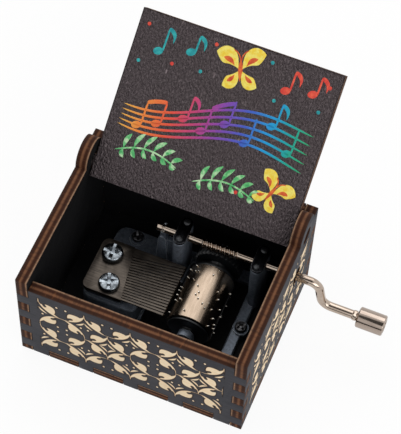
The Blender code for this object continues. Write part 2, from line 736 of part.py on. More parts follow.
def comb_root_x(y):
    """The slanted line where the slots between the teeth end."""
    share = (y - COMB_FRONT) / (COMB_BACK - COMB_FRONT)
    return COMB_ROOT_FRONT_X + (COMB_ROOT_REAR_X - COMB_ROOT_FRONT_X) * share


def slot_y(slot, share):
    """Middle of a slot, counted from the rear, at a share of the way from its root to its tip."""
    steps = (COMB_TEETH - 2) / 2 - slot
    root = DRUM_MIDDLE - TOOTH_ROOT_SHIFT + steps * TOOTH_ROOT_PITCH
    tip = DRUM_MIDDLE + steps * COMB_PITCH
    return root + (tip - root) * share


def tooth_sides(index, share):
    """Front and rear side of a tooth, where the comb's own edges bound its first and last."""
    front = COMB_FRONT + COMB_MARGIN
    rear = COMB_BACK - COMB_MARGIN
    if index < COMB_TEETH - 1:
        front = slot_y(index, share) + COMB_SLOT / 2
    if index > 0:
        rear = slot_y(index - 1, share) - COMB_SLOT / 2
    return front, rear


def tooth_profile(start, root, tip, weighted):
    """Side view of a tooth: thinned in the middle, pointed at the tip, some weighted below."""
    top = COMB_TOP - TOOTH_DROP
    low = top - TOOTH_THICKNESS
    thin = top - TOOTH_THIN
    span = tip - root
    thin_start = root + TOOTH_TAPER_SHARE * span
    thin_end = tip - WEIGHT_SETBACK - WEIGHT_LENGTH
    profile = [(start, top), (start, low), (root + COMB_MARGIN, low), (thin_start, thin)]
    profile.append((thin_end, thin))
    if weighted:
        profile.append((thin_end, top - WEIGHT_DEPTH))
        profile.append((tip - WEIGHT_SETBACK, top - WEIGHT_DEPTH))
    profile.append((tip - WEIGHT_SETBACK, low))
    profile.append((tip - TOOTH_POINT, low))
    profile.append((tip, top - TOOTH_THICKNESS / 2))
    profile.append((tip - TOOTH_POINT / 2, top))
    return profile


def comb_tooth(index):
    """One tooth, drawn one unit wide and then spread between its two slots."""
    front, rear = tooth_sides(index, 0)
    root = comb_root_x(front)
    tip = comb_tip_x()
    start = comb_root_x(rear) - COMB_MARGIN
    profile = tooth_profile(start, root, tip, index < WEIGHTED_TEETH)
    tooth = prism(f"tooth_{index}", profile, 0, 1, "Y")
    for vertex in tooth.data.vertices:
        front, rear = tooth_sides(index, (vertex.co.x - root) / (tip - root))
        vertex.co.y = front + (rear - front) * vertex.co.y
    return tooth


def comb():
    plate = prism("comb", comb_outline(0), COMB_UNDER, COMB_TOP)
    add(plate, *[comb_tooth(index) for index in range(COMB_TEETH)])
    holes = []
    for place in (COMB_SCREW_REAR, COMB_SCREW_FRONT):
        radius = COMB_SCREW_RADIUS + SCREW_CLEARANCE
        holes.append(screw_hole(place, radius, COMB_UNDER - OVERRUN, COMB_TOP + OVERRUN))
    cut(plate, *holes)
    paint(plate, (0.12, 0.105, 0.09), 0.4, 0.9)
    return plate


# Screws and rivets
def pan_profile(head_radius, head_height, round_radius, shank_radius, seat, shank_end):
    """Half section of a pan head screw, from the tip of its shank to the top of its head."""
    profile = [(shank_radius, shank_end), (shank_radius, seat)]
    centre = head_radius - round_radius
    shoulder = seat + head_height - round_radius
    if shoulder > seat:
        profile.append((head_radius, seat))
    return profile + arc(centre, shoulder, round_radius, 0, pi / 2, HEAD_STEPS)


def cross_recess(name, place, top, length, width, depth, turn):
    """Two crossed bars that sink the driver's recess."""
    x, y = place
    bars = []
    for index in range(2):
        half = length / 2
        side = width / 2
        outline = [(-half, -side), (half, -side), (half, side), (-half, side)]
        bar = prism(f"{name}_{index}", outline, top - depth, top + OVERRUN)
        spin = Matrix.Rotation(turn + index * pi / 2, 4, "Z")
        bar.data.transform(Matrix.Translation((x, y, 0)) @ spin)
        bars.append(bar)
    add(bars[0], bars[1])
    return bars[0]


def comb_screw(name, place, turn):
    seat = COMB_TOP + SCREW_SEAT_GAP
    end = seat - COMB_SCREW_LENGTH
    head = (COMB_HEAD_RADIUS, COMB_HEAD_HEIGHT, COMB_HEAD_ROUND)
    profile = pan_profile(*head, COMB_SCREW_RADIUS, seat, end)
    screw = turned(name, profile, (*place, 0), segments=SCREW_SEGMENTS)
    top = seat + COMB_HEAD_HEIGHT
    cut(screw, cross_recess("cross", place, top, CROSS_LENGTH, CROSS_WIDTH, CROSS_DEPTH, turn))
    paint(screw, (0.62, 0.63, 0.64), 0.25, 1)
    return screw


def frame_screw(name, place, turn):
    seat = FRAME_TOP + FRAME_BOSS_HEIGHT + SCREW_SEAT_GAP
    head = (FRAME_HEAD_RADIUS, FRAME_HEAD_HEIGHT, FRAME_HEAD_ROUND)
    profile = pan_profile(*head, FRAME_SCREW_BODY_RADIUS, seat, SCREW_TIP_COVER)
    screw = turned(name, profile, (*place, 0), segments=SCREW_SEGMENTS)
    top = seat + FRAME_HEAD_HEIGHT
    cross = (FRAME_CROSS_LENGTH, FRAME_CROSS_WIDTH, FRAME_CROSS_DEPTH)
    cut(screw, cross_recess("cross", place, top, *cross, turn))
    paint(screw, (0.02, 0.02, 0.02), 0.35, 0.8)
    return screw


def rivet_seat():
    return POST_TOP + 2 * CAP_SEAT_GAP + CAP_THICKNESS


def rivet_shank_end():
    return rivet_seat() - RIVET_SHANK_LENGTH


def bearing_cap(name, x):
    """Plate across a post's channel that keeps the shaft down."""
    outline = stadium(x, SHAFT_Y, POST_WIDTH, POST_LENGTH)
    low = POST_TOP + CAP_SEAT_GAP
    cap = prism(name, outline, low, low + CAP_THICKNESS)
    radius = RIVET_SHANK_RADIUS + RIVET_HOLE_CLEARANCE
    high = low + CAP_THICKNESS + OVERRUN
    cut(cap, *[screw_hole(place, radius, low - OVERRUN, high) for place in rivet_places(x)])
    paint(cap, (0.015, 0.015, 0.016), 0.4, 0.7)
    return cap


def bearing_cap_rivet(name, place):
    profile = pan_profile(
        RIVET_HEAD_RADIUS, RIVET_HEAD_HEIGHT, RIVET_HEAD_HEIGHT, RIVET_SHANK_RADIUS,
        rivet_seat(), rivet_shank_end(),
    )
    rivet = turned(name, profile, (*place, 0), segments=SMALL_SEGMENTS)
    paint(rivet, (0.03, 0.03, 0.032), 0.35, 0.8)
    return rivet


# Crank
def wire_stations():
    """(point, direction, radius) down the bent wire, left end to right end."""
    shaft = Vector((0, SHAFT_Y, SHAFT_HEIGHT))
    first = shaft + Vector((CASE_SIDE + CRANK_CORNER_FROM_CASE, 0, 0))
    second = first + Vector((CRANK_ARM_SLANT, 0, 0)) + CRANK_ARM * CRANK_DOWN
    along = Vector((1, 0, 0))
    arm = (second - first).normalized()
    stations = [(shaft + x * along, along, radius) for x, radius in shaft_stations()]
    stations += bend(first, along, arm)
    stations += bend(second, arm, along)
    stations += [(HANDLE_AXIS + x * along, along, radius) for x, radius in handle_stations()]
    return stations


def bend(corner, before, after):
    """Stations round one bend of the wire, between its two straight runs."""
    turn = before.angle(after)
    reach = CRANK_BEND_RADIUS * sin(turn / 2) / cos(turn / 2)
    inward = (after - before).normalized()
    centre = corner + inward * (CRANK_BEND_RADIUS / cos(turn / 2))
    normal = before.cross(after).normalized()
    spoke = corner - before * reach - centre
    stations = []
    for step in range(BEND_STEPS + 1):
        spin = Matrix.Rotation(turn * step / BEND_STEPS, 3, normal)
        stations.append((centre + spin @ spoke, spin @ before, SHAFT_RADIUS))
    return stations


def shaft_stations():
    """(distance along X, radius) down the straight shaft; None asks for the thread."""
    core = SHAFT_RADIUS - CLIP_GROOVE_DEPTH
    near = CLIP_GROOVE_X - CLIP_GROOVE_WIDTH / 2
    far = CLIP_GROOVE_X + CLIP_GROOVE_WIDTH / 2
    groove = [(near, SHAFT_RADIUS), (near, core), (far, core), (far, SHAFT_RADIUS)]
    worm_start = DRUM_X - WORM_LENGTH / 2
    steps = ceil(WORM_LENGTH / WORM_PITCH) * THREAD_STEPS
    thread = [(worm_start + WORM_LENGTH * step / steps, None) for step in range(1, steps)]
    ends = [(worm_start, SHAFT_RADIUS), (worm_start + WORM_LENGTH, SHAFT_RADIUS)]
    return [(SHAFT_LEFT_X, SHAFT_RADIUS)] + groove + ends[:1] + thread + ends[1:]


def handle_stations():
    """(distance along X, radius) down the wire's end: the knob's stop and the peened end."""
    stop = SHAFT_RADIUS + STOP_RISE
    stop_end = KNOB_START_X - KNOB_END_FLOAT
    stop_start = stop_end - STOP_WIDTH
    peen = SHAFT_RADIUS + PEEN_RISE
    peen_start = WIRE_END_X - PEEN_WIDTH
    stations = [(stop_start, SHAFT_RADIUS), (stop_start, stop), (stop_end, stop), (stop_end, SHAFT_RADIUS)]
    return stations + [(peen_start, SHAFT_RADIUS), (peen_start, peen), (WIRE_END_X, SHAFT_RADIUS)]


def thread_radius(x, angle):
    """The worm's surface: a wave whose crest climbs along the shaft as the angle grows."""
    phase = WORM_STARTS * (angle + pi / 2) - 2 * pi * (x - DRUM_X) / WORM_PITCH
    middle = WORM_PITCH_RADIUS + (THREAD_RISE - THREAD_DEPTH) / 2
    return middle + (THREAD_RISE + THREAD_DEPTH) / 2 * cos(phase)


def crank_shaft():
    """One swept wire: snap ring groove, worm, two bends, the knob's stop and peened end."""
    shape = bmesh.new()
    rings = []
    side = Vector((0, cos(CRANK_LEAN), sin(CRANK_LEAN)))
    for point, direction, radius in wire_stations():
        lift = direction.cross(side).normalized()
        ring = []
        for index in range(WIRE_SEGMENTS):
            angle = 2 * pi * index / WIRE_SEGMENTS
            size = thread_radius(point.x, angle + CRANK_LEAN) if radius is None else radius
            ring.append(shape.verts.new(point + size * (cos(angle) * side + sin(angle) * lift)))
        rings.append(ring)
    sleeve(shape, rings)
    shape.faces.new(rings[0])
    shape.faces.new(rings[-1])
    wire = object_from_bmesh("crank_shaft", shape)
    place_origin(wire, (0, SHAFT_Y, SHAFT_HEIGHT))
    paint(wire, (0.66, 0.63, 0.6), 0.2, 1)
    return wire


def shaft_clip():
    """Snap ring in the shaft's groove: its two ends turn outward and carry beads."""
    start = pi / 2 + CLIP_TURN + CLIP_OPENING / 2
    end = start + 2 * pi - CLIP_OPENING
    route = arc(SHAFT_Y, SHAFT_HEIGHT, CLIP_RING_RADIUS, start, end, 4 * CORNER_STEPS)
    ends = [arc(SHAFT_Y, SHAFT_HEIGHT, CLIP_REACH, angle, angle, 1)[0] for angle in (start, end)]
    route = ends[:1] + route + ends[1:]
    line = bpy.data.curves.new("ring", "CURVE")
    line.dimensions = "3D"
    line.bevel_depth = CLIP_WIRE_RADIUS
    line.bevel_resolution = 1
    line.use_fill_caps = True
    spline = line.splines.new("POLY")
    spline.points.add(len(route) - 1)
    for point, (y, z) in zip(spline.points, route):
        point.co = (CLIP_GROOVE_X, y, z, 1)
    guide = new_object("ring", line)
    graph = bpy.context.evaluated_depsgraph_get()
    mesh = bpy.data.meshes.new_from_object(guide.evaluated_get(graph))
    bpy.data.objects.remove(guide)
    clip = new_object("shaft_clip", mesh)
    beads = []
    for index, (y, z) in enumerate(ends):
        profile = arc(0, 0, CLIP_BEAD_RADIUS, -CLIP_BEAD_CUT, CLIP_BEAD_CUT, CORNER_STEPS)
        beads.append(turned(f"bead_{index}", profile, (CLIP_GROOVE_X, y, z), segments=SMALL_SEGMENTS))
    add(clip, *beads)
    place_origin(clip, (0, SHAFT_Y, SHAFT_HEIGHT))
    paint(clip, (0.7, 0.7, 0.7), 0.2, 1)
    return clip


def crank_knob():
    """Turned sleeve that spins on the wire, between the stop and the peened end in its recess."""
    bore = SHAFT_RADIUS + KNOB_CLEARANCE
    near = KNOB_START_X + KNOB_CHAMFER
    end = KNOB_START_X + KNOB_LENGTH
    rim = KNOB_RADIUS - KNOB_CHAMFER
    recess = SHAFT_RADIUS + PEEN_RISE + KNOB_RECESS_CLEARANCE
    profile = [
        (bore, KNOB_START_X),
        (rim, KNOB_START_X),
        (KNOB_RADIUS, near),
        (KNOB_RADIUS, end - KNOB_CHAMFER),
        (rim, end),
        (recess, end),
        (recess, KNOB_FLOOR_X),
        (bore, KNOB_FLOOR_X),
    ]
    knob = turned("crank_knob", profile, HANDLE_AXIS, "X", bored=True)
    place_origin(knob, HANDLE_AXIS)
    paint(knob, (0.66, 0.63, 0.6), 0.15, 1)
    return knob


# Drum
def pin_places():
    """(tooth, angle) of each pin, from a rule that walks up and down the comb like a tune."""
    places = []
    step = 2 * pi / TUNE_BEATS
    for beat in range(TUNE_BEATS):
        angle = (beat + 1 / 2) * step
        wander = (sin(SLOW_WAVES * angle) + sin(FAST_WAVES * angle) / 2) / 3
        melody = round((COMB_TEETH - 1) * (1 / 2 + wander))
        bass = (BASS_STEP * beat + BASS_START) % COMB_TEETH
        turn_up = (TURN_STEP * beat + TURN_START) % COMB_TEETH
        places.append((melody, angle))
        if bass != melody:
            places.append((bass, angle + step / 3))
        if beat % 2 and turn_up not in (melody, bass):
            places.append((turn_up, angle - step / 3))
    return places


def drum_pins():
    """All the pins as short tapered pegs that stand on the drum."""
    shape = bmesh.new()
    levels = ((DRUM_RADIUS - PIN_SINK, PIN_FOOT_RADIUS), (PIN_TIP_REACH, PIN_TIP_RADIUS))
    for tooth, angle in pin_places():
        outward = Vector((cos(angle), 0, sin(angle)))
        across = Vector((-sin(angle), 0, cos(angle)))
        along = Vector((0, 1, 0))
        axis_point = Vector((DRUM_X, comb_tooth_y(tooth), DRUM_Z))
        rings = []
        for distance, radius in levels:
            centre = axis_point + distance * outward
            ring = []
            for index in range(PIN_SEGMENTS):
                turn = 2 * pi * index / PIN_SEGMENTS
                ring.append(shape.verts.new(centre + radius * (cos(turn) * across + sin(turn) * along)))
            rings.append(ring)
        sleeve(shape, rings)
        shape.faces.new(rings[0])
        shape.faces.new(rings[1])
    return object_from_bmesh("pins", shape)


def music_drum():
    """Cylinder with a bore for its axle and a pin for each note of the tune."""
    bore = AXLE_RADIUS + AXLE_CLEARANCE
    profile = [
        (bore, DRUM_FRONT), (DRUM_RADIUS, DRUM_FRONT), (DRUM_RADIUS, DRUM_BACK), (bore, DRUM_BACK),
    ]
    drum = turned("music_drum", profile, (DRUM_X, 0, DRUM_Z), "Y", DRUM_SEGMENTS, bored=True)
    add(drum, drum_pins())
    place_origin(drum, (DRUM_X, 0, DRUM_Z))
    paint(drum, (0.55, 0.5, 0.43), 0.3, 1)
    return drum


def drum_front_cap():
    """Dark disc with a short hub, between the drum and its front post."""
    bore = AXLE_RADIUS + AXLE_CLEARANCE
    back = DRUM_FRONT - DRUM_CAP_GAP
    front = back - DRUM_CAP_THICKNESS
    step = (front + back) / 2
    profile = [
        (bore, front), (DRUM_CAP_HUB, front), (DRUM_CAP_HUB, step), (DRUM_CAP_RADIUS, step),
        (DRUM_CAP_RADIUS, back), (bore, back),
    ]
    cap = turned("drum_front_cap", profile, (DRUM_X, 0, DRUM_Z), "Y", bored=True)
    place_origin(cap, (DRUM_X, 0, DRUM_Z))
    paint(cap, (0.02, 0.025, 0.03), 0.4, 0)
    return cap


def wheel_ring(y):
    """One section of the toothed rim, turned to follow the worm's lead angle."""
    slope = WORM_LEAD / (2 * pi * WORM_PITCH_RADIUS)
    twist = slope * (y - SHAFT_Y) / WHEEL_PITCH_RADIUS
    root = WHEEL_PITCH_RADIUS - WHEEL_DEPTH
    tip = WHEEL_PITCH_RADIUS + WHEEL_RISE
    tooth_angle = 2 * pi / WHEEL_TEETH
    points = []
    for tooth in range(WHEEL_TEETH):
        for share, radius in zip(WHEEL_CORNER_SHARES, (root, tip, tip, root)):
            angle = pi / 2 - (tooth + share) * tooth_angle - twist
            points.append((DRUM_X + radius * cos(angle), y, DRUM_Z + radius * sin(angle)))
    return points


def worm_wheel():
    """Toothed wheel behind the drum, with hubs that reach the drum and the rear post."""
    shape = bmesh.new()
    rings = []
    for step in range(WHEEL_STEPS + 1):
        y = SHAFT_Y + WHEEL_THICKNESS * (step / WHEEL_STEPS - 1 / 2)
        rings.append([shape.verts.new(point) for point in wheel_ring(y)])
    sleeve(shape, rings)
    shape.faces.new(rings[0])
    shape.faces.new(rings[-1])
    wheel = object_from_bmesh("worm_wheel", shape)
    centre = (DRUM_X, 0, DRUM_Z)
    flange_front = DRUM_BACK + DRUM_CAP_GAP
    flange = rod("flange", DRUM_CAP_RADIUS, flange_front, flange_front + DRUM_CAP_THICKNESS, centre, "Y")
    hub_front = flange_front + DRUM_CAP_THICKNESS / 2
    hub = rod("hub", WHEEL_HUB_RADIUS, hub_front, WHEEL_BACK + WHEEL_HUB_LENGTH, centre, "Y")
    add(wheel, hub, flange)
    bore = rod("bore", AXLE_RADIUS + AXLE_CLEARANCE, DRUM_BACK - OVERRUN, CASE_BACK, centre, "Y")
    cut(wheel, bore)
    place_origin(wheel, centre)
    paint(wheel, (0.02, 0.02, 0.022), 0.45, 0)
    return wheel


def drum_axle():
    """Straight pin through the drum, its cap and its wheel, held in the two drum posts."""
    start = FRONT_POST_BACK - DRUM_POST_THICKNESS - AXLE_OVERHANG
    end = REAR_POST_FRONT + DRUM_POST_THICKNESS + AXLE_OVERHANG
    axle = rod("drum_axle", AXLE_RADIUS, start, end, (DRUM_X, 0, DRUM_Z), "Y")
    place_origin(axle, (DRUM_X, 0, DRUM_Z))
    paint(axle, (0.55, 0.6, 0.65), 0.3, 1)
    return axle


def build():
    for obj in list(bpy.data.objects):
        bpy.data.objects.remove(obj)
    end_board("front_panel", CASE_FRONT, CASE_FRONT + BOARD, FRONT_TOP)
    end_board("back_panel", CASE_BACK, CASE_BACK - BOARD, SIDE_HEIGHT)
    side_board("left_panel", -CASE_SIDE, BOARD - CASE_SIDE, False)
    side_board("right_panel", CASE_SIDE, CASE_SIDE - BOARD, True)
    bottom_board()
    lid()
    movement_frame()
    comb()
    comb_screw("comb_screw_rear", COMB_SCREW_REAR, COMB_SCREW_TURNS[0])
    comb_screw("comb_screw_front", COMB_SCREW_FRONT, COMB_SCREW_TURNS[1])
    frame_screw("frame_screw_left", FRAME_SCREW_LEFT, FRAME_SCREW_TURNS[0])
    frame_screw("frame_screw_right", FRAME_SCREW_RIGHT, FRAME_SCREW_TURNS[1])
    for side, x in (("left", LEFT_POST_X), ("right", RIGHT_POST_X)):
        bearing_cap(f"bearing_cap_{side}", x)
        for end, place in zip(("front", "rear"), rivet_places(x)):
            bearing_cap_rivet(f"cap_rivet_{side}_{end}", place)
    crank_shaft()
    shaft_clip()
    crank_knob()
    music_drum()
    drum_front_cap()
    worm_wheel()
    drum_axle()


build()
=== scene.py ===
# %% [markdown]
# # A hand crank music box
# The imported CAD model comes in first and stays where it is. Everything below is built around it, in metres,
# with +Z up, +X towards the crank and -Y towards the front. Each step says what a piece is on the real box,
# how it could be made in Blender, and why this way was chosen.

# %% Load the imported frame
from math import cos, pi, radians, sin

import bmesh
import bpy
import numpy as np
from mathutils import Matrix, Vector


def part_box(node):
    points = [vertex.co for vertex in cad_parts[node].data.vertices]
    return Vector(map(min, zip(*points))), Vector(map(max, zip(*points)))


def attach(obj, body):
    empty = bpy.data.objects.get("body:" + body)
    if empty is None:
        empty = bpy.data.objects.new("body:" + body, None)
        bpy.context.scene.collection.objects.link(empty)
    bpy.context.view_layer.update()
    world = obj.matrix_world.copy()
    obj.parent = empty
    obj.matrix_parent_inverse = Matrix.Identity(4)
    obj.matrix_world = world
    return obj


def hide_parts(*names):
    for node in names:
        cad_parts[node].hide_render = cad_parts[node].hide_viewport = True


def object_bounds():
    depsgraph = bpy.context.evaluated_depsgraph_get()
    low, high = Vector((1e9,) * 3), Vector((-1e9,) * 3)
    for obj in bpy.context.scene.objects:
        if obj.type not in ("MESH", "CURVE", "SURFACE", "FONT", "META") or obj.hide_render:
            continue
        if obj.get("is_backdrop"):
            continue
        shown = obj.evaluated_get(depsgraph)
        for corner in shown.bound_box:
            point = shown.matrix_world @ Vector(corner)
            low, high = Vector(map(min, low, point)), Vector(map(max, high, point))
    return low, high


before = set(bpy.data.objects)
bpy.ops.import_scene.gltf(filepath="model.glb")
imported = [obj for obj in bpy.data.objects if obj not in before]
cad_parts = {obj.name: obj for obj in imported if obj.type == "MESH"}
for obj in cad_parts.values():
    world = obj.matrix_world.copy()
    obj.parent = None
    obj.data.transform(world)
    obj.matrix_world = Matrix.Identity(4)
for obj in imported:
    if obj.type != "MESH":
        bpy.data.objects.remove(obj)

MM = 0.001
WHITE = (1.0, 1.0, 1.0, 1.0)
X_AXIS = np.array((1.0, 0.0, 0.0))
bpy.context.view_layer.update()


def linked(name, data):
    """A new object in the scene."""
    item = bpy.data.objects.new(name, data)
    bpy.context.scene.collection.objects.link(item)
    return item


# %% [markdown]
# ## Camera
# The photograph looks down on the box from in front and a little to the right, from about half a metre away.
# A constraint could aim the camera, but a rotation built from azimuth, elevation and roll keeps the three
# angles readable.

# %% Camera
AZIMUTH = radians(19.483)
ELEVATION = radians(58.486)
ROLL = radians(3.174)
CAMERA_DISTANCE = 461.195 * MM
AIM = Vector((8.443, -0.5, 55.718)) * MM
LENS = 153.4

backwards = Vector((sin(AZIMUTH) * cos(ELEVATION), -cos(AZIMUTH) * cos(ELEVATION), sin(ELEVATION)))
level = Vector((cos(AZIMUTH), sin(AZIMUTH), 0))
right = cos(ROLL) * level + sin(ROLL) * backwards.cross(level)
rotation = Matrix((right, backwards.cross(right), backwards)).transposed()
camera = linked("camera", bpy.data.cameras.new("camera"))
camera.matrix_world = Matrix.Translation(AIM + CAMERA_DISTANCE * backwards) @ rotation.to_4x4()
camera.data.lens = LENS
camera.data.clip_start = 0.05
camera.data.clip_end = 10
bpy.context.scene.camera = camera
print("camera at", [round(value, 3) for value in camera.location])

# %% [markdown]
# ## Writing shaders as sums
# A finish is a web of small nodes. Placing each one by hand hides the idea behind it, so a reading, which is
# one number that varies over the surface, gets the ordinary arithmetic signs. Every sign adds a Math node.
# All other nodes come from one method: a type, its settings, then the value or link of each socket.


# %% Readings and finishes
class Reading:
    """One output of a node, ready for arithmetic."""

    def __init__(self, finish, socket):
        self.finish = finish
        self.socket = socket

    def __add__(self, other):
        return self.finish.math("ADD", self, other)

    def __sub__(self, other):
        return self.finish.math("SUBTRACT", self, other)

    def __rsub__(self, other):
        return self.finish.math("SUBTRACT", other, self)

    def __mul__(self, other):
        return self.finish.math("MULTIPLY", self, other)

    def __truediv__(self, other):
        return self.finish.math("DIVIDE", self, other)

    def __pow__(self, other):
        return self.finish.math("POWER", self, other)

    def __neg__(self):
        return self * -1

    def __abs__(self):
        return self.finish.math("ABSOLUTE", self)

    __radd__ = __add__
    __rmul__ = __mul__


class Finish:
    """A material whose surface is one Principled shader."""

    def __init__(self, name, constants):
        self.material = bpy.data.materials.new(name)
        self.material.use_nodes = True
        self.tree = self.material.node_tree
        self.surface = self.tree.nodes["Principled BSDF"]
        self.set(constants)

    def set(self, values):
        """Puts values or readings on the shader's own sockets."""
        for socket, value in values.items():
            self.feed(self.surface.inputs[socket], value)

    def feed(self, socket, value):
        if isinstance(value, Reading):
            self.tree.links.new(value.socket, socket)
        else:
            socket.default_value = value

    def add(self, kind, settings, sockets, output=0):
        """Adds a node: its settings first, then a value or a link for each socket."""
        node = self.tree.nodes.new("ShaderNode" + kind)
        for name, setting in settings.items():
            if name == "stops":
                elements = node.color_ramp.elements
                for index, (position, shade) in enumerate(setting):
                    stop = elements[index] if index < 2 else elements.new(position)
                    stop.position = position
                    stop.color = shade
            else:
                setattr(node, name, setting)
        for key, value in sockets.items():
            self.feed(node.inputs[key], value)
        return Reading(self, node.outputs[output])

    def math(self, operation, *values):
        return self.add("Math", {"operation": operation}, dict(enumerate(values)))

    def smallest(self, first, *others):
        for other in others:
            first = self.math("MINIMUM", first, other)
        return first

    def largest(self, first, *others):
        for other in others:
            first = self.math("MAXIMUM", first, other)
        return first

    def step(self, value, low, high):
        """0 below low, 1 above high, and a smooth rise between."""
        ends = {"Value": value, "From Min": low, "From Max": high, "To Min": 0.0, "To Max": 1.0}
        return self.add("MapRange", {"interpolation_type": "SMOOTHSTEP"}, ends)

    def between(self, share, first, second):
        """One number turning into another as share goes from 0 to 1."""
        return first + share * (second - first)

    def mix(self, share, first, second):
        """One colour turning into another as share goes from 0 to 1."""
        return self.add("Mix", {"data_type": "RGBA"}, {0: share, 6: first, 7: second}, 2)

    def place(self):
        """The point on the surface, as a vector in metres."""
        return self.add("TexCoord", {}, {}, 3)

    def axes(self, vector):
        """The three parts of a vector in millimetres."""
        node = self.add("SeparateXYZ", {}, {0: vector})
        outputs = node.socket.node.outputs
        return [Reading(self, output) * 1000 for output in outputs]

    def stretched(self, vector, factors):
        return self.add("VectorMath", {"operation": "MULTIPLY"}, {0: vector, 1: factors})

    def noise(self, vector, scale, detail=3.0, roughness=0.5):
        """Smooth random numbers from 0 to 1; scale counts the blobs in a metre."""
        values = {"Vector": vector, "Scale": scale, "Detail": detail, "Roughness": roughness}
        return self.add("TexNoise", {}, values)

    def bump(self, height, depth, strength=1.0):
        """A relief whose height of 1 stands depth metres proud."""
        values = {"Height": height, "Distance": depth, "Strength": strength}
        self.set({"Normal": self.add("Bump", {}, values)})


def colour(red, green, blue):
    """A colour given as it looks on a screen, from 0 to 255, turned into linear light."""
    shares = [value / 255 for value in (red, green, blue)]
    return (*[s / 12.92 if s < 0.04045 else ((s + 0.055) / 1.055) ** 2.4 for s in shares], 1.0)


def ramp(*rows):
    """Stops of a colour ramp, from rows of position, red, green and blue."""
    return [(position, colour(*screen)) for position, *screen in rows]


# %% [markdown]
# ## Floor and light
# A product picture like this one is taken in a white tent: a big soft lamp above and behind, a second one
# from the side, and white all round. The floor shows the camera and the metal a plain white, and all else
# meets it as pale paper, so the box keeps a soft shadow. The tent has a dark opening overhead and a dark
# strip low in front. Only mirrors see them: they draw the dark bands on the bright metal.


# %% Surfaces from grids of points
def surface(name, points, round_rows=False):
    """A mesh over one grid of points, rows x columns x 3, or over a stack of such grids.

    Each cell becomes a face. Columns always go all the way round, rows only if asked.
    Points that coincide, as at a pole, are merged, and open ends are closed with one face.
    """
    rows, columns = points.shape[-3:-1]
    row = np.arange(rows if round_rows else rows - 1)[:, None]
    column = np.arange(columns)
    after = (column + 1) % columns
    here, there = row * columns, (row + 1) % rows * columns
    cells = np.stack([here + column, here + after, there + after, there + column], axis=2)
    first = np.arange(0, points.size // 3, rows * columns)
    faces = first[:, None, None] + cells.reshape(-1, 4)
    mesh = bpy.data.meshes.new(name)
    mesh.from_pydata(points.reshape(-1, 3).tolist(), [], faces.reshape(-1, 4).tolist())
    shape = bmesh.new()
    shape.from_mesh(mesh)
    bmesh.ops.remove_doubles(shape, verts=shape.verts, dist=0.0000005)
    rims = [edge for edge in shape.edges if len(edge.link_faces) == 1]
    if rims:
        bmesh.ops.holes_fill(shape, edges=rims, sides=0)
    bmesh.ops.recalc_face_normals(shape, faces=shape.faces)
    shape.to_mesh(mesh)
    shape.free()
    return linked(name, mesh)


# %% Floor
FLOOR_SIDE = 3.0
FLOOR_FACES = [(0, 1, 4, 3), (1, 2, 5, 4), (3, 4, 7, 6), (4, 5, 8, 7)]
WHITE_SHARE = 0.9

floor_line = np.linspace(-FLOOR_SIDE / 2, FLOOR_SIDE / 2, 3)
floor_x, floor_y = np.meshgrid(floor_line, floor_line)
sheet = np.stack([floor_x, floor_y, np.zeros_like(floor_x)], axis=2)
floor_mesh = bpy.data.meshes.new("floor")
floor_mesh.from_pydata(sheet.reshape(-1, 3).tolist(), [], FLOOR_FACES)
floor = linked("floor", floor_mesh)
floor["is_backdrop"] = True


def kinds_of_ray(finish):
    """Three readings, each 1 for its own kind of ray: the camera's, a glossy and a transmission one."""
    outputs = finish.add("LightPath", {}, {}).socket.node.outputs
    return [Reading(finish, outputs[f"Is {kind} Ray"]) for kind in ("Camera", "Glossy", "Transmission")]


paper = Finish("floor_paper", {"Base Color": colour(238, 238, 238), "Roughness": 0.9})
camera_ray, glossy_ray, clear_ray = kinds_of_ray(paper)
white = paper.add("Emission", {}, {"Color": WHITE, "Strength": 1.02})
plain = Reading(paper, paper.surface.outputs[0])
share = (camera_ray + glossy_ray + clear_ray) * WHITE_SHARE
mixed = paper.add("MixShader", {}, {0: share, 1: plain, 2: white})
paper.feed(paper.tree.nodes["Material Output"].inputs["Surface"], mixed)
floor.data.materials.append(paper.material)

# %% World and lamps
WORLD_LIGHT = 0.5
DARK_ANGLE = radians(20)
OPENING = Vector((0.1, -0.34, 0.94)).normalized()
OPENING_SOFTNESS = 0.015
HORIZON = 0.3
HORIZON_SOFTNESS = 0.06
DARKNESS = 0.9

world = bpy.data.worlds.new("studio")
bpy.context.scene.world = world
world.use_nodes = True


class Tent(Finish):
    """The same sums of nodes for the world, whose surface is a Background."""

    def __init__(self, world):
        self.tree = world.node_tree
        self.surface = self.tree.nodes["Background"]


tent = Tent(world)
heading = tent.add("VectorMath", {"operation": "NORMALIZE"}, {0: tent.add("TexCoord", {}, {})})
toward = tent.add("VectorMath", {"operation": "DOT_PRODUCT"}, {0: heading, 1: OPENING}, 1)
opening = tent.step(toward, cos(DARK_ANGLE) - OPENING_SOFTNESS, cos(DARK_ANGLE) + OPENING_SOFTNESS)
heading_parts = tent.add("SeparateXYZ", {}, {0: heading}).socket.node.outputs
in_front = tent.step(Reading(tent, heading_parts[1]), -0.3, -0.5)
strip = in_front * tent.step(Reading(tent, heading_parts[2]), HORIZON, HORIZON - HORIZON_SOFTNESS)
mirrored = 1 - DARKNESS * tent.largest(opening, strip)
camera_ray, glossy_ray, clear_ray = kinds_of_ray(tent)
mirror_ray = glossy_ray + clear_ray
other_ray = 1 - tent.smallest(mirror_ray + camera_ray, 1.0)
strength = camera_ray + mirror_ray * mirrored + other_ray * WORLD_LIGHT
tent.set({"Color": WHITE, "Strength": strength})


def softbox(name, place, width, height, watts):
    """A rectangular lamp that faces the box."""
    lamp = bpy.data.lights.new(name, "AREA")
    lamp.shape = "RECTANGLE"
    lamp.size = width
    lamp.size_y = height
    lamp.energy = watts
    holder = linked(name, lamp)
    holder.location = place
    holder.rotation_euler = (Vector((0, 0, 0.03)) - holder.location).to_track_quat("-Z", "Y").to_euler()


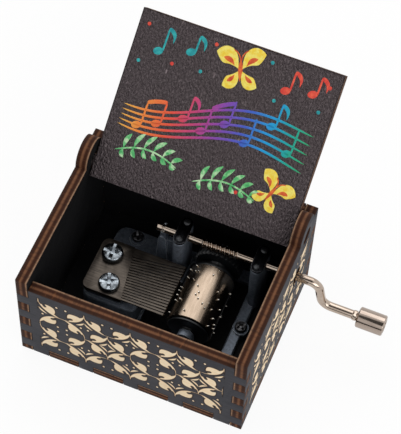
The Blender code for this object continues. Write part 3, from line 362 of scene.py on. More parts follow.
softbox("lamp_above", (-0.22, 0.45, 0.75), 1.3, 0.6, 3.7)
softbox("lamp_front", (0.75, -0.62, 0.5), 0.8, 0.7, 3.6)
bpy.context.scene.view_settings.view_transform = "Standard"

# %% [markdown]
# ## Laser-cut boards
# The case is 3.3 mm plywood, painted dark before it was cut, so its faces are matt dark grey while every
# edge shows the burnt layers of the wood. The outlines are the CAD's own. A copy of each board is merged,
# its flat faces are joined again, and a tenth of a millimetre comes off its edges, because no cut edge is
# perfectly sharp. The finish decides by depth below the outer face what is paint and what is burnt wood.

# %% Eased copies of CAD nodes
BOARD = 3.3
FLAT_ANGLE = radians(1)
EDGE_ANGLE = radians(35)
BURNT = colour(30, 17, 12)


def eased(node, body, width, segments=2):
    """A copy of a CAD node with its loose triangles merged, flat faces joined and edges bevelled."""
    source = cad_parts[node]
    shape = bmesh.new()
    shape.from_mesh(source.data)
    bmesh.ops.remove_doubles(shape, verts=shape.verts, dist=0.000001)
    bmesh.ops.dissolve_limit(shape, angle_limit=FLAT_ANGLE, verts=shape.verts, edges=shape.edges)
    mesh = bpy.data.meshes.new(node + "_piece")
    shape.to_mesh(mesh)
    shape.free()
    piece = linked(node + "_piece", mesh)
    bevel = piece.modifiers.new("edges", "BEVEL")
    bevel.width = width
    bevel.segments = segments
    bevel.limit_method = "ANGLE"
    bevel.angle_limit = EDGE_ANGLE
    bevel.use_clamp_overlap = True
    bevel.harden_normals = True
    for polygon in mesh.polygons:
        polygon.use_smooth = True
    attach(piece, body)
    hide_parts(node)
    return piece


def dress(piece, finish):
    """Gives a piece its material and prints its count of faces."""
    piece.data.materials.clear()
    piece.data.materials.append(finish.material)
    print(piece.name, len(piece.data.polygons), "faces")


def settle(piece, body, finish, slot, *replaced, sharp=35):
    """Smooth shading, a body to ride on, the nodes that the piece stands for, and its finish."""
    for polygon in piece.data.polygons:
        polygon.use_smooth = True
    piece.data.set_sharp_from_angle(angle=radians(sharp))
    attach(piece, body)
    if replaced:
        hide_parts(*replaced)
    dress(piece, finish)


# %% [markdown]
# ## The engraved trellis
# Rows of touching circles carry four leaves each, turned like a windmill. Every second cell of the middle row
# is left open between its neighbours' arcs, with a diamond in it. The engraving burns through the paint to
# the pale wood, and leaves a dark scorched line round each shape. Cut into the mesh, it
# would need thousands of tiny faces for a tenth of a millimetre of depth. So it is arithmetic on the
# surface's own coordinates: each point is folded into one cell, then into one quarter of its nearest circle,
# where a single leaf is described.

# %% Trellis arithmetic
CELL = 12.92
LINE = 0.11
LOBE = 0.335
NOTCH = 0.07
DIAMOND = 2.5
STAR = 3.0


def trellis(finish, across, up, columns):
    """How far inside the nearest pale shape each point lies, in mm; below zero is outside."""
    a = across / CELL + columns / 2
    b = up / CELL + 0.5
    column = finish.math("FLOOR", a)
    row = finish.math("FLOOR", b)
    x = a - column - 0.5
    y = b - row - 0.5
    middle = finish.math("COMPARE", row, 0.0, 0.1)
    odd = finish.math("PINGPONG", column, 1.0)
    is_open = middle * odd

    # Where the cell is open, the nearest circle is a neighbour's, round the cell's corner
    side_x = x - is_open * 0.5 * finish.math("SIGN", x)
    side_y = y - is_open * 0.5 * finish.math("SIGN", y)
    depth = 1 - 2 * finish.math("SQRT", side_x * side_x + side_y * side_y)
    quarter = finish.math("FRACT", finish.math("ARCTAN2", side_y, side_x) / (pi / 2)) - 0.5
    arc = LINE - abs(depth) * (CELL / 2)

    # One leaf is a round lobe on the arc, with a tail at one end and a short root at the other;
    # a notch cuts the lobe free of its root
    round_q = (quarter + 0.01) * 1.22
    round_depth = depth - 0.182
    lobe = LOBE - finish.math("SQRT", round_q * round_q + round_depth * round_depth)
    tail = finish.largest(1 - abs(quarter - 0.2) / 0.24, 0.0) * 0.17 - depth
    root = finish.largest(1 - abs(quarter + 0.16) / 0.2, 0.0) * 0.09 - depth
    leaf = finish.smallest(finish.largest(lobe, tail, root), depth + 0.02)
    notch_q = finish.largest(quarter + 0.16, 0.0) * 1.3
    notch_depth = depth - 0.165
    notch = NOTCH - finish.math("SQRT", notch_depth * notch_depth + notch_q * notch_q)
    leaf = finish.smallest(leaf, -notch) * (0.8 * CELL / 2)

    def diamond(far_x, far_y):
        spread = (finish.math("SQRT", far_x) + finish.math("SQRT", far_y)) ** 2.0
        return finish.smallest((DIAMOND - far_x - far_y) * 0.7, (spread - STAR) * 0.4)

    def dot(far_x, far_y, at_x, at_y):
        off_x = (far_x - at_x) * 1.1
        off_y = far_y - at_y
        return 0.38 - finish.math("SQRT", off_x * off_x + off_y * off_y)

    # The middle of a cell: four dots in a circle, a diamond in an open cell
    near_x = abs(x) * CELL
    near_y = abs(y) * CELL
    centre = finish.between(is_open, dot(near_x, near_y, 1.28, 1.22), diamond(near_x, near_y))

    # The corner of a cell: half a diamond outside the middle row, two dots inside it
    corner_x = (0.5 - abs(x)) * CELL
    corner_y = (0.5 - abs(y)) * CELL
    corner = finish.between(middle, diamond(corner_x, corner_y), dot(corner_x, corner_y, 1.0, 0.85))

    field = finish.smallest(columns * CELL / 2 - abs(across), CELL - abs(up)) + 0.15
    return finish.smallest(finish.largest(arc, leaf, centre, corner), field)


# %% [markdown]
# ## Paint, scorch and wood
# One function makes the finish of any board from three readings: how deep a point lies below the outer face,
# and where it is across and up the board. The outer face is painted and the inner face is near black; the cut
# edge between them shows its plies, darkened by the laser in streaks that run through the board's thickness.

# %% Board finishes
FACE_SKIN = 0.045
SKIN_BLUR = 0.03
EDGE_PLIES = ramp(
    (0.0, 78, 55, 42),
    (0.06, 58, 36, 25),
    (0.2, 50, 22, 8),
    (0.3, 62, 32, 15),
    (0.4, 118, 78, 53),
    (0.49, 114, 76, 52),
    (0.6, 60, 29, 13),
    (0.74, 46, 18, 5),
    (0.84, 76, 46, 28),
    (0.91, 156, 122, 96),
    (1.0, 118, 90, 70),
)
PALE_WOOD = colour(255, 240, 212)
PAINT_DARK, PAINT_LIGHT = colour(46, 47, 52), colour(63, 63, 69)
INSIDE = colour(9, 9, 11)


def board_finish(name, depth_of, face_of, columns):
    """Paint on the outer face, near black on the inner face, burnt plies on the edges and, with columns, the
    trellis on the outer face.

    depth_of and face_of take the point's x, y and z in mm; face_of gives its place across and up.
    """
    finish = Finish(name, {"Specular IOR Level": 0.2})
    place = finish.place()
    x, y, z = finish.axes(place)
    depth = depth_of(x, y, z)
    across, up = face_of(x, y, z)
    face = finish.add("CombineXYZ", {}, {0: across * MM, 1: up * MM, 2: depth * MM})
    grain = finish.noise(finish.stretched(face, (0.12, 1.0, 1.0)), 1900.0, 4.0, 0.6)
    speckle = finish.noise(place, 2600.0, 2.0)
    cloud = finish.noise(place, 90.0)

    outer = finish.step(depth, FACE_SKIN + SKIN_BLUR, FACE_SKIN)
    inner = finish.step(depth, BOARD - FACE_SKIN - SKIN_BLUR, BOARD - FACE_SKIN)
    painted = finish.mix(finish.step(grain * 0.7 + speckle * 0.3, 0.3, 0.7), PAINT_DARK, PAINT_LIGHT)
    painted = finish.mix(finish.step(cloud, 0.35, 0.75) * 0.35, painted, colour(74, 72, 77))
    height = grain * 0.3 + speckle * 0.3
    if columns:
        shape = trellis(finish, across, up, columns)
        scorch = finish.step(shape, -0.42, -0.1)
        bare = finish.step(shape, -0.03, 0.05)
        wood = finish.mix(finish.step(grain, 0.35, 0.75), colour(252, 224, 184), PALE_WOOD)
        wood = finish.mix(finish.step(shape, 0.16, 0.02) * 0.5, wood, colour(178, 124, 78))
        painted = finish.mix(scorch * 0.9, painted, BURNT)
        painted = finish.mix(bare, painted, wood)
        height = height - finish.step(shape, -0.1, 0.1)

    streak = finish.noise(finish.stretched(face, (1.0, 1.0, 0.15)), 1300.0, 5.0, 0.65)
    ply = depth / BOARD + (cloud - 0.5) * 0.1
    plies = finish.add("ValToRGB", {"stops": EDGE_PLIES}, {"Fac": ply})
    plies = finish.mix(finish.step(streak, 0.45, 0.7) * 0.5, plies, BURNT)
    plies = finish.mix(finish.step(streak, 0.42, 0.25) * 0.3, plies, colour(150, 96, 58))
    edge_height = streak * 0.8 + abs(ply - 0.45) * 0.6

    # The inner face is coloured near black, far darker than the outer paint
    dark = finish.mix(finish.step(speckle, 0.4, 0.8), INSIDE, colour(18, 18, 21))
    shown = finish.mix(outer, finish.mix(inner, plies, dark), painted)
    finish.set({"Base Color": shown, "Roughness": finish.between(outer, 0.78, 0.58 + speckle * 0.2)})
    finish.bump(finish.between(outer, edge_height, height), 0.1 * MM, 0.8)
    return finish


# %% The case
WALL_FRONT = -25.5
WALL_SIDE = 32.0
FIELD_HEIGHT = 17.97
walls = {
    "front_panel": (lambda x, y, z: y - WALL_FRONT, lambda x, y, z: (x, z - FIELD_HEIGHT), 4),
    "back_panel": (lambda x, y, z: -WALL_FRONT - y, lambda x, y, z: (-x, z - FIELD_HEIGHT), 4),
    "left_panel": (lambda x, y, z: x + WALL_SIDE, lambda x, y, z: (0.4 - y, z - FIELD_HEIGHT), 3),
    "right_panel": (lambda x, y, z: WALL_SIDE - x, lambda x, y, z: (y + 0.4, z - FIELD_HEIGHT), 3),
    "bottom_panel": (lambda x, y, z: z, lambda x, y, z: (x, y), 0),
}
EDGE_WEAR = 0.09 * MM
for node, (depth_of, face_of, columns) in walls.items():
    board = eased(node, "case", EDGE_WEAR)
    dress(board, board_finish(node + "_wood", depth_of, face_of, columns))

# %% [markdown]
# ## Lid
# The lid is the same board on two tabs. Its inner face has a printed skin: a dark brown grey with the fine
# grain of leather. In the shader, its own directions are worked out from its tilt, so that the grain
# and the ornament on its outer face lie square to its edges.

# %% Lid
PIVOT = Vector((0, 17.2, 34.85)) * MM
LID_TILT = radians(38.254)
LID_UP = Vector((0, cos(LID_TILT), sin(LID_TILT)))
LID_NORMAL = Vector((0, -sin(LID_TILT), cos(LID_TILT)))
LID_MIDDLE = 21.35


def lid_depth(x, y, z):
    """Depth below the lid's outer face, which looks backwards and down while it is open."""
    return (y - PIVOT.y / MM) * LID_NORMAL.y + (z - PIVOT.z / MM) * LID_NORMAL.z + BOARD / 2


def lid_face(x, y, z):
    up = (y - PIVOT.y / MM) * LID_UP.y + (z - PIVOT.z / MM) * LID_UP.z
    return x, LID_MIDDLE - up


def lid_finish():
    finish = board_finish("lid_wood", lid_depth, lid_face, 4)
    x, y, z = finish.axes(finish.place())
    depth = lid_depth(x, y, z)
    across, up = lid_face(x, y, z)
    face = finish.add("CombineXYZ", {}, {0: across * MM, 1: up * MM, 2: 0.0})
    pores = finish.noise(finish.stretched(face, (1.0, 0.55, 1.0)), 2300.0, 3.0, 0.7)
    cracks = {"Vector": finish.stretched(face, (1.0, 0.5, 1.0)), "Scale": 1500.0}
    creases = finish.add("TexVoronoi", {"feature": "DISTANCE_TO_EDGE"}, cracks)
    soft = finish.noise(face, 70.0)
    leather = finish.mix(finish.step(pores, 0.38, 0.66), colour(102, 91, 94), colour(146, 133, 136))
    leather = finish.mix(finish.step(creases, 0.12, 0.0) * 0.4, leather, colour(62, 54, 57))
    leather = finish.mix(finish.step(soft, 0.3, 0.7) * 0.25, leather, colour(106, 94, 95))
    rim = finish.smallest(28.3 - abs(across), up + LID_MIDDLE)
    leather = finish.mix(finish.step(rim, 0.5, 0.05) * 0.7, leather, BURNT)
    printed = finish.step(depth, BOARD - FACE_SKIN - SKIN_BLUR, BOARD - FACE_SKIN)
    sockets = finish.surface.inputs
    before = Reading(finish, sockets["Base Color"].links[0].from_socket)
    rough = Reading(finish, sockets["Roughness"].links[0].from_socket)
    bump = sockets["Normal"].links[0].from_node
    relief = Reading(finish, bump.inputs["Height"].links[0].from_socket)
    gloss = finish.between(printed, rough, 0.5 + pores * 0.3)
    finish.set({"Base Color": finish.mix(printed, before, leather), "Roughness": gloss})
    finish.feed(bump.inputs["Height"], finish.between(printed, relief, pores * 0.5 + creases * 300.0))
    return finish


lid_piece = eased("lid", "lid", EDGE_WEAR)
dress(lid_piece, lid_finish())

# %% [markdown]
# ## The print on the lid
# A bright print stands on the dark skin: a rainbow stave with notes, two butterflies, sprays and dots. Ink
# this thick could be painted in the shader, but as thin pieces with rounded edges it keeps its own sharp
# outline and catches the light. Every shape is one brush stroke: a path on the lid, and half a width at each
# of its points.

# %% Brush strokes
INK_HIGH = 0.045
INK_FOOT = -0.02
STROKE_ROWS = 40
SECTION = np.array([
    (-1.0, INK_FOOT), (-1.0, 0.0), (-0.82, 0.8), (-0.4, 1.0),
    (0.4, 1.0), (0.82, 0.8), (1.0, 0.0), (1.0, INK_FOOT),
])


def on_lid(across, up, high):
    """Points on the lid's inner face from millimetres across it, up from its hinge, and off it."""
    plane = across[..., None] * X_AXIS + up[..., None] * np.array(LID_UP)
    return np.array(PIVOT) + (plane + (BOARD / 2 + high)[..., None] * np.array(LID_NORMAL)) * MM


def stroke(across, up, half, lift=0.0):
    """Rows of a flat rounded section carried along a path; both ends close in a point.

    The section's side goes out square to the path by half, and its height is the ink's own.
    """
    along = np.stack([np.gradient(across), np.gradient(up)], axis=1)
    along = along / np.linalg.norm(along, axis=1, keepdims=True)
    ends = np.ones(len(across))
    ends[[0, -1]] = 0
    side = (half * ends)[:, None] * SECTION[:, 0]
    high = np.where(SECTION[:, 1] > 0, SECTION[:, 1] * INK_HIGH + lift, SECTION[:, 1]) * ends[:, None]
    return on_lid(across[:, None] - along[:, 1:] * side, up[:, None] + along[:, :1] * side, high)


def bent(start, end, bow):
    """A path from start to end that swings bow millimetres to its left in the middle."""
    t = np.linspace(0, 1, STROKE_ROWS)
    (x0, v0), (x1, v1) = start, end
    length = np.hypot(x1 - x0, v1 - v0)
    swing = bow * np.sin(pi * t) / length
    return x0 + (x1 - x0) * t - (v1 - v0) * swing, v0 + (v1 - v0) * t + (x1 - x0) * swing


def blade(start, end, bow, half, belly=0.5, lift=0.0):
    """A leaf or petal: its half width is a sine whose crest stands at belly."""
    t = np.linspace(0, 1, STROKE_ROWS)
    swell = np.sin(pi * t ** (np.log(0.5) / np.log(belly)))
    return stroke(*bent(start, end, bow), half * np.clip(swell, 0.0, 1.0) ** 0.8, lift)


def line(start, end, bow, half):
    t = np.linspace(-1, 1, STROKE_ROWS)
    return stroke(*bent(start, end, bow), half * (1 - t ** 8) ** 0.5)


def spot(across, up, half, long=1.0, turn=0.0, lift=0.0):
    """An oval: along its own length the half width follows a circle."""
    t = -np.cos(np.linspace(0, pi, STROKE_ROWS))
    x, v = across + half * long * t * cos(turn), up + half * long * t * sin(turn)
    return stroke(x, v, half * np.sqrt(1 - t * t), lift)


def ink(name, finish, strokes):
    """All strokes of one ink as one piece."""
    settle(surface(name, np.stack(strokes)), "lid", finish, "printed_lid", sharp=50)


def ink_finish(name, stops, turn=0.0):
    """Ink that wanders through its stops; without a turn they follow the lid's width."""
    finish = Finish(name, {"Specular IOR Level": 0.4})
    place = finish.place()
    pores = finish.noise(place, 2300.0, 3.0, 0.7)
    x, y, z = finish.axes(place)
    share = (x + 27) / 54 if not turn else finish.step(finish.noise(place, turn, 2.0), 0.3, 0.7)
    shade = finish.add("ValToRGB", {"stops": stops}, {"Fac": share + (pores - 0.5) * 0.12})
    shade = finish.mix(finish.step(pores, 0.42, 0.25) * 0.3, shade, colour(70, 60, 62))
    finish.set({"Base Color": shade, "Roughness": 0.42 + pores * 0.3})
    finish.bump(pores, 0.03 * MM)
    return finish


# %% The rainbow stave and its notes
RAINBOW = ramp(
    (0.0, 244, 196, 84),
    (0.14, 246, 140, 62),
    (0.27, 236, 84, 60),
    (0.4, 196, 66, 128),
    (0.52, 132, 72, 176),
    (0.64, 66, 96, 200),
    (0.76, 24, 158, 220),
    (0.88, 24, 170, 150),
    (1.0, 60, 172, 90),
)
rainbow = ink_finish("rainbow_ink", RAINBOW)
# Each note: its place across the lid, its head's stave line, its stem's length, and whether it has a flag
NOTES = [
    (-20.5, 1, 6.6, False), (-15.5, 2, 6.0, False), (-9.0, 3, 6.4, True), (-3.5, 1, 6.8, False),
    (2.0, 2, 6.8, False), (8.5, 0, 7.2, False), (14.0, 3, 6.4, True), (20.0, 1, 7.0, False),
]
STAVE_GAP = 2.5


def stave(across, line_number):
    """Height of a stave line: a slow wave that climbs to the right, its lines spreading as they go."""
    spread = 0.55 + 0.45 * (across + 25) / 50
    return 18.5 + 0.1 * across + 2.4 * np.sin(across / 8.5 + 0.6) + (line_number - 2) * STAVE_GAP * spread


def note(across, up, tail, flag):
    """An oval head, a stem on its right and a curved flag."""
    stem = across + 1.15
    head = spot(across, up, 1.0, 1.35, radians(22))
    strokes = [head, line((stem, up + 0.2), (stem + 0.15, up + tail), 0.0, 0.27)]
    if flag:
        strokes.append(blade((stem, up + tail), (stem + 2.1, up + tail - 3.6), 0.9, 0.55, 0.3))
    return strokes


runs = np.linspace(-25.5, 25.5, STROKE_ROWS)
thin = 0.34 * (1 - np.linspace(-1, 1, STROKE_ROWS) ** 6) ** 0.5
strokes = [stroke(runs, stave(runs, number), thin) for number in range(5)]
for across, number, tail, flag in NOTES:
    strokes += note(across, float(stave(np.array(across), number)), tail, flag)
for left, right in ((-20.5, -15.5), (-3.5, 2.0)):
    left_end = float(stave(np.array(left), 1)) + 6.6
    right_end = float(stave(np.array(right), 2)) + 6.2
    strokes.append(line((left + 1.1, left_end), (right + 1.4, right_end), 0.25, 0.55))
ink("lid_print_stave", rainbow, strokes)

# %% Butterflies
gold = ink_finish("gold_ink", ramp((0, 250, 214, 60), (1, 252, 238, 120)), 900.0)
ember = ink_finish("ember_ink", ramp((0, 206, 74, 40), (1, 238, 120, 52)), 900.0)


def turned_to(middle, turn, size):
    """Carries a butterfly's own points, drawn round its middle, to their place on the lid."""
    def move(x, v):
        across = middle[0] + size * (x * cos(turn) - v * sin(turn))
        return across, middle[1] + size * (x * sin(turn) + v * cos(turn))
    return move


wings, bodies = [], []
for middle, turn, size in (((1.5, 35.2), radians(14), 1.0), ((19.5, 7.4), radians(-24), 0.82)):
    move = turned_to(middle, turn, size)
    for hand in (-1, 1):
        wings.append(blade(move(0.5 * hand, 0.3), move(6.6 * hand, 4.6), 1.1 * hand, 2.3 * size, 0.62))
        wings.append(blade(move(0.5 * hand, -0.2), move(4.6 * hand, -4.3), -0.7 * hand, 1.75 * size, 0.6))
        bodies.append(blade(move(1.6 * hand, 1.1), move(4.6 * hand, 3.2), 0.5 * hand, 0.75 * size, 0.6, 0.03))
        low_mark = move(1.4 * hand, -1.1), move(3.4 * hand, -3.0)
        bodies.append(blade(*low_mark, -0.3 * hand, 0.6 * size, 0.6, 0.03))
        bodies.append(line(move(0.1 * hand, 2.4), move(2.0 * hand, 5.3), 0.5 * hand, 0.16))
    bodies.append(blade(move(0.0, -3.0), move(0.0, 2.9), 0.0, 0.62 * size, 0.55, 0.03))
ink("lid_print_wings", gold, wings)
ink("lid_print_bodies", ember, bodies)

# %% Sprays, notes and dots
LEAF_GREENS = ramp((0, 70, 172, 100), (0.5, 120, 204, 132), (1, 196, 232, 184))
leaf_ink = ink_finish("leaf_ink", LEAF_GREENS, 700.0)
teal = ink_finish("teal_ink", ramp((0, 22, 140, 150), (1, 50, 180, 180)), 900.0)
red = ink_finish("red_ink", ramp((0, 216, 60, 52), (1, 240, 96, 70)), 900.0)
# Each pair of leaves: its row on the stem, its reach, and its lean from the stem in degrees
LEAVES = ((5, 4.6, 75), (11, 5.0, 66), (17, 5.0, 58), (23, 4.6, 50), (29, 4.0, 42), (35, 3.4, 34))

blades = []
for foot in ((-24.0, 4.6), (-1.5, 3.4)):
    x, v = bent(foot, (foot[0] + 17.5, foot[1] + 0.6), 2.4)
    blades.append(stroke(x, v, 0.24 * (1 - np.linspace(-1, 1, STROKE_ROWS) ** 6) ** 0.5))
    for place, reach, lean in LEAVES:
        for flip, share in ((1, 1.0), (-1, 0.55)):
            far = reach * share
            tip = (x[place] + far * cos(radians(lean)), v[place] + flip * far * sin(radians(lean)))
            blades.append(blade((x[place], v[place]), tip, 0.5 * flip, 0.62, 0.55))
ink("lid_print_sprays", leaf_ink, blades)

TEAL_NOTES = ((-21.0, 33.0, 6.6), (-12.5, 35.5, 4.8))
TEAL_DOTS = ((-8.5, 31.5), (9.0, 39.8), (24.5, 31.5), (-25.3, 29.0), (12.5, 30.6))
RED_NOTES = ((14.5, 34.0, 5.6), (21.6, 35.4, 5.0))
RED_DOTS = ((-16.4, 31.0), (-6.6, 39.6), (25.4, 38.4), (-25.5, 39.0), (10.6, 4.6))
for name, finish, notes, dots in (
    ("lid_print_teal", teal, TEAL_NOTES, TEAL_DOTS),
    ("lid_print_red", red, RED_NOTES, RED_DOTS),
):
    strokes = [part for across, up, tail in notes for part in note(across, up, tail, True)]
    ink(name, finish, strokes + [spot(x, v, 0.5) for x, v in dots])

# %% [markdown]
# ## Casting and comb
# The movement stands on a zinc casting with a dark blue-grey plating, soft at its edges and slightly uneven.
# The comb is ground spring steel, hardened dark, and brushed along its teeth. Both shapes come from the CAD,
# eased.

# %% Metals
# Radius of the edge mask that paints wear and a highlight onto the edges
WEAR_AND_HIGHLIGHT_RADIUS = 0.3 * MM
EVEN = (1.0, 1.0, 1.0)


def metal(
    name, dark, light, roughness, scale, stretch=EVEN, relief=0.004, spread=0.12, plated=1.0, wear_and_highlight=None
):
    """A metal whose colour, gloss and surface wander between two limits along a stretched noise.

    Given an edge colour, edges are lightened toward it, partly as rubbed wear and partly as a painted
    highlight: there a normal averaged over a short radius leans from the true one.
    """
    finish = Finish(name, {"Metallic": plated})
    place = finish.place()
    fine = finish.noise(finish.stretched(place, stretch), scale, 4.0, 0.6)
    broad = finish.noise(place, scale / 9)
    share = finish.step(fine * 0.6 + broad * 0.4, 0.32, 0.68)
    shade = finish.mix(share, colour(*dark), colour(*light))
    # Painted highlight and wear: edges are lightened toward the edge colour where the averaged normal leans
    # from the true one
    if wear_and_highlight:
        averaged = finish.add("Bevel", {"samples": 6}, {"Radius": WEAR_AND_HIGHLIGHT_RADIUS})
        true = finish.add("NewGeometry", {}, {}, 1)
        lean = finish.add("VectorMath", {"operation": "DOT_PRODUCT"}, {0: averaged, 1: true}, 1)
        shade = finish.mix(finish.step(lean + (fine - 0.5) * 0.1, 0.97, 0.86), shade, colour(*wear_and_highlight))
    gloss = roughness + (fine - 0.5) * spread + (broad - 0.5) * spread
    finish.set({"Base Color": shade, "Roughness": gloss})
    finish.bump(fine, relief * MM)
    return finish


# Light edge colour of the casting: partly rubbed zinc, partly a painted highlight on its edges
RUBBED_AND_LIT_EDGE = (200, 206, 214)
cast = metal(
    "cast_metal", (84, 91, 102), (126, 135, 148), 0.44, 1400.0,
    relief=0.02, spread=0.2, plated=0.4, wear_and_highlight=RUBBED_AND_LIT_EDGE,
)
dress(eased("movement_frame", "case", 0.18 * MM), cast)
steel = metal("comb_metal", (62, 57, 53), (92, 85, 78), 0.4, 2600.0, (0.06, 1.0, 1.0), 0.006)
dress(eased("comb", "case", 0.05 * MM), steel)
# Light edge colour of the black caps: partly rubbed, partly a painted highlight on their edges
RUBBED_AND_LIT_BLACK_EDGE = (120, 122, 126)
black = metal("cap_metal", (16, 16, 18), (32, 33, 36), 0.42, 1800.0, relief=0.01, wear_and_highlight=RUBBED_AND_LIT_BLACK_EDGE)
for side in ("left", "right"):
    dress(eased(f"bearing_cap_{side}", "case", 0.1 * MM, 3), black)

# %% [markdown]
# ## Screws and rivets
# A pan head is a shallow dome with a driver's cross pressed into it. The whole screw is one sheet: its rows
# run from the middle of the head out over the rim and down the shank, its columns go round. The cross is a
# dip in the rows near the middle, deepest in the centre and sloping up along each arm, as a punch leaves it.

# %% Turned shapes


def circle(count):
    """Angles of count points once round."""
    return np.linspace(0, 2 * pi, count, endpoint=False)


def eased_profile(corners, radius, steps=5):
    """Rounds each corner of a profile with a curve that leaves its sides at most radius away from it."""
    corners = np.array(corners, float)
    back = corners[:-2] - corners[1:-1]
    ahead = corners[2:] - corners[1:-1]
    back_length = np.linalg.norm(back, axis=1, keepdims=True)
    ahead_length = np.linalg.norm(ahead, axis=1, keepdims=True)
    cut = np.minimum(radius, 0.45 * np.minimum(back_length, ahead_length))
    start = corners[1:-1] + back / back_length * cut
    end = corners[1:-1] + ahead / ahead_length * cut
    t = np.linspace(0, 1, steps)[None, :, None]
    bends = (1 - t) ** 2 * start[:, None] + 2 * t * (1 - t) * corners[1:-1, None] + t ** 2 * end[:, None]
    return np.concatenate([corners[:1], bends.reshape(-1, 2), corners[-1:]])


def turned(name, profile, centre, axis, turns=96, bored=False):
    """Carries a profile of (radius, distance) points round an axis through centre."""
    profile = np.array(profile, float)
    angle = circle(turns)
    radius = profile[:, :1]
    one, other = radius * np.cos(angle), radius * np.sin(angle)
    far = np.repeat(profile[:, 1:], turns, axis=1)
    order = {"X": (far, one, other), "Y": (other, far, one), "Z": (one, other, far)}[axis]
    points = np.stack(order, axis=2) * MM + np.array(centre) * MM
    return surface(name, points, bored)


DOME = 0.3


def cross_head(node, head, shank_radius, cross, turn):
    """A pan head screw in the place of its CAD node; sizes in mm.

    head is radius, height and rounding; cross is arm length, arm width and depth.
    The dip is the smaller of two slopes: one across an arm, one along it.
    """
    low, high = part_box(node)
    centre = (low + high) / 2 / MM
    head_radius, head_height, rounding = head
    top = high.z / MM
    flat_radius = head_radius - rounding * 0.5

    def crown(radius):
        return top - DOME * head_height + DOME * head_height * (1 - (radius / head_radius) ** 2)

    rings = np.linspace(0, 1, 34)[:, None] * flat_radius
    angle = circle(144)[None, :]
    x, y = rings * np.cos(angle), rings * np.sin(angle)
    own_x = np.abs(x * cos(turn) + y * sin(turn))
    own_y = np.abs(-x * sin(turn) + y * cos(turn))
    arm, half, sink = cross[0] / 2, cross[1] / 2, cross[2]
    along, beside = np.maximum(own_x, own_y), np.minimum(own_x, own_y)
    wall = np.clip((half - beside) / (0.3 * half) + 1, 0, 1)
    slope = np.clip((arm - along) / (0.75 * arm), 0, 1)
    height = crown(rings) - sink * wall * slope
    rim = eased_profile([
        (flat_radius, crown(flat_radius)),
        (head_radius - 0.12 * rounding, top - 0.42 * head_height),
        (head_radius, top - head_height),
        (shank_radius, top - head_height),
        (shank_radius, low.z / MM),
    ], rounding * 0.8, 7)
    grid_x = np.concatenate([x, rim[:, :1] * np.cos(angle)]) + centre.x
    grid_y = np.concatenate([y, rim[:, :1] * np.sin(angle)]) + centre.y
    grid_z = np.concatenate([height, rim[:, 1:] + 0 * angle])
    return surface(node + "_piece", np.stack([grid_x, grid_y, grid_z], axis=2) * MM)


# %% Screws and rivets in place
zinc = metal("bright_zinc", (92, 98, 104), (160, 167, 173), 0.22, 900.0, relief=0.05)
black_zinc = metal("black_zinc", (62, 62, 64), (112, 112, 114), 0.36, 2000.0, relief=0.008)
for node, turn in (("comb_screw_rear", radians(5)), ("comb_screw_front", radians(20))):
    screw = cross_head(node, (3.0, 1.9, 0.9), 1.4, (5.0, 0.8, 0.75), turn)
    settle(screw, "case", zinc, "bright_screw", node, sharp=40)
for node, turn in (("frame_screw_left", radians(30)), ("frame_screw_right", radians(50))):
    screw = cross_head(node, (1.75, 1.2, 0.6), 1.0, (2.7, 0.55, 0.75), turn)
    settle(screw, "case", black_zinc, "black_screw", node, sharp=40)

RIVET_HEIGHT = 0.5
RIVET_PROFILE = eased_profile(
    [(0, RIVET_HEIGHT), (0.55, 0.44), (0.88, 0.26), (1.05, 0.0), (0.6, 0.0), (0.6, -2.6), (0, -2.6)], 0.12
)
rivet_metal = metal("rivet_metal", (56, 57, 59), (86, 87, 89), 0.5, 2500.0, relief=0.01)
for side in ("left", "right"):
    for end in ("front", "rear"):
        node = f"cap_rivet_{side}_{end}"
        low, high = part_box(node)
        middle = (low + high) / 2 / MM
        foot = (middle.x, middle.y, high.z / MM - RIVET_HEIGHT)
        rivet = turned(node + "_piece", RIVET_PROFILE, foot, "Z", 40)
        settle(rivet, "case", rivet_metal, "rivet_steel", node)

# %% [markdown]
# ## Crank
# One steel wire is worm, bearing, crank arm and handle pin. It could be a curve with a round bevel, but its
# radius changes with the angle round it as well: the worm's thread climbs along it, and the stop for the knob
# was pinched flat. So it is swept as a grid: every row is a ring across the wire, and the radius of each of
# its points is worked out from the distance along the shaft and the angle.

# %% The wire's path
SHAFT = Vector((0, 12.0, 21.9))
SHAFT_RADIUS = 1.25
LEAN = radians(-0.5)
DOWN = np.array((0, sin(LEAN), -cos(LEAN)))
BEND = 3.2
ARM_DROP = 9.0
ARM_SLANT = 1.8
FIRST_CORNER = WALL_SIDE + 6.3
KNOB_START = WALL_SIDE + 18.4
KNOB_LENGTH = 7.6
KNOB_RECESS = 1.0
WIRE_END = KNOB_START + KNOB_LENGTH - KNOB_RECESS + 0.8


def arc_along(start, before, after):
    """Points and headings round one bend, in the crank's own plane of (across, down).

    The centre lies one bend radius to the side of the start, and the heading turns from before to after.
    """
    turn = np.linspace(before, after, 24)
    hand = np.sign(after - before)
    centre = np.array(start) + hand * BEND * np.array((-sin(before), cos(before)))
    points = centre + hand * BEND * np.stack([np.sin(turn), -np.cos(turn)], axis=1)
    return points, turn


arm_angle = np.arctan2(ARM_DROP, ARM_SLANT)
reach = BEND * np.tan(arm_angle / 2)
second_corner = np.array((FIRST_CORNER + ARM_SLANT, ARM_DROP))
arm_heading = np.array((cos(arm_angle), sin(arm_angle)))
first_bend, first_turn = arc_along((FIRST_CORNER - reach, 0), 0.0, arm_angle)
second_bend, second_turn = arc_along(second_corner - reach * arm_heading, arm_angle, 0.0)
print("arm stands at", round(float(np.degrees(arm_angle)), 1), "degrees to the shaft")

# %% The wire's radius
DRUM_X, DRUM_Z = 10.2, 14.031
WORM_HALF = 5.2
WORM_PITCH = 1.28
WORM_STARTS = 2
WORM_MIDDLE = 1.335
WORM_WAVE = 0.285
SHAFT_LEFT = -8.1
GROOVE = (-6.55, -5.85)
GROOVE_DEPTH = 0.4
STOP = (48.9, 50.2)
STOP_EARS = 0.34
PEEN = 0.45

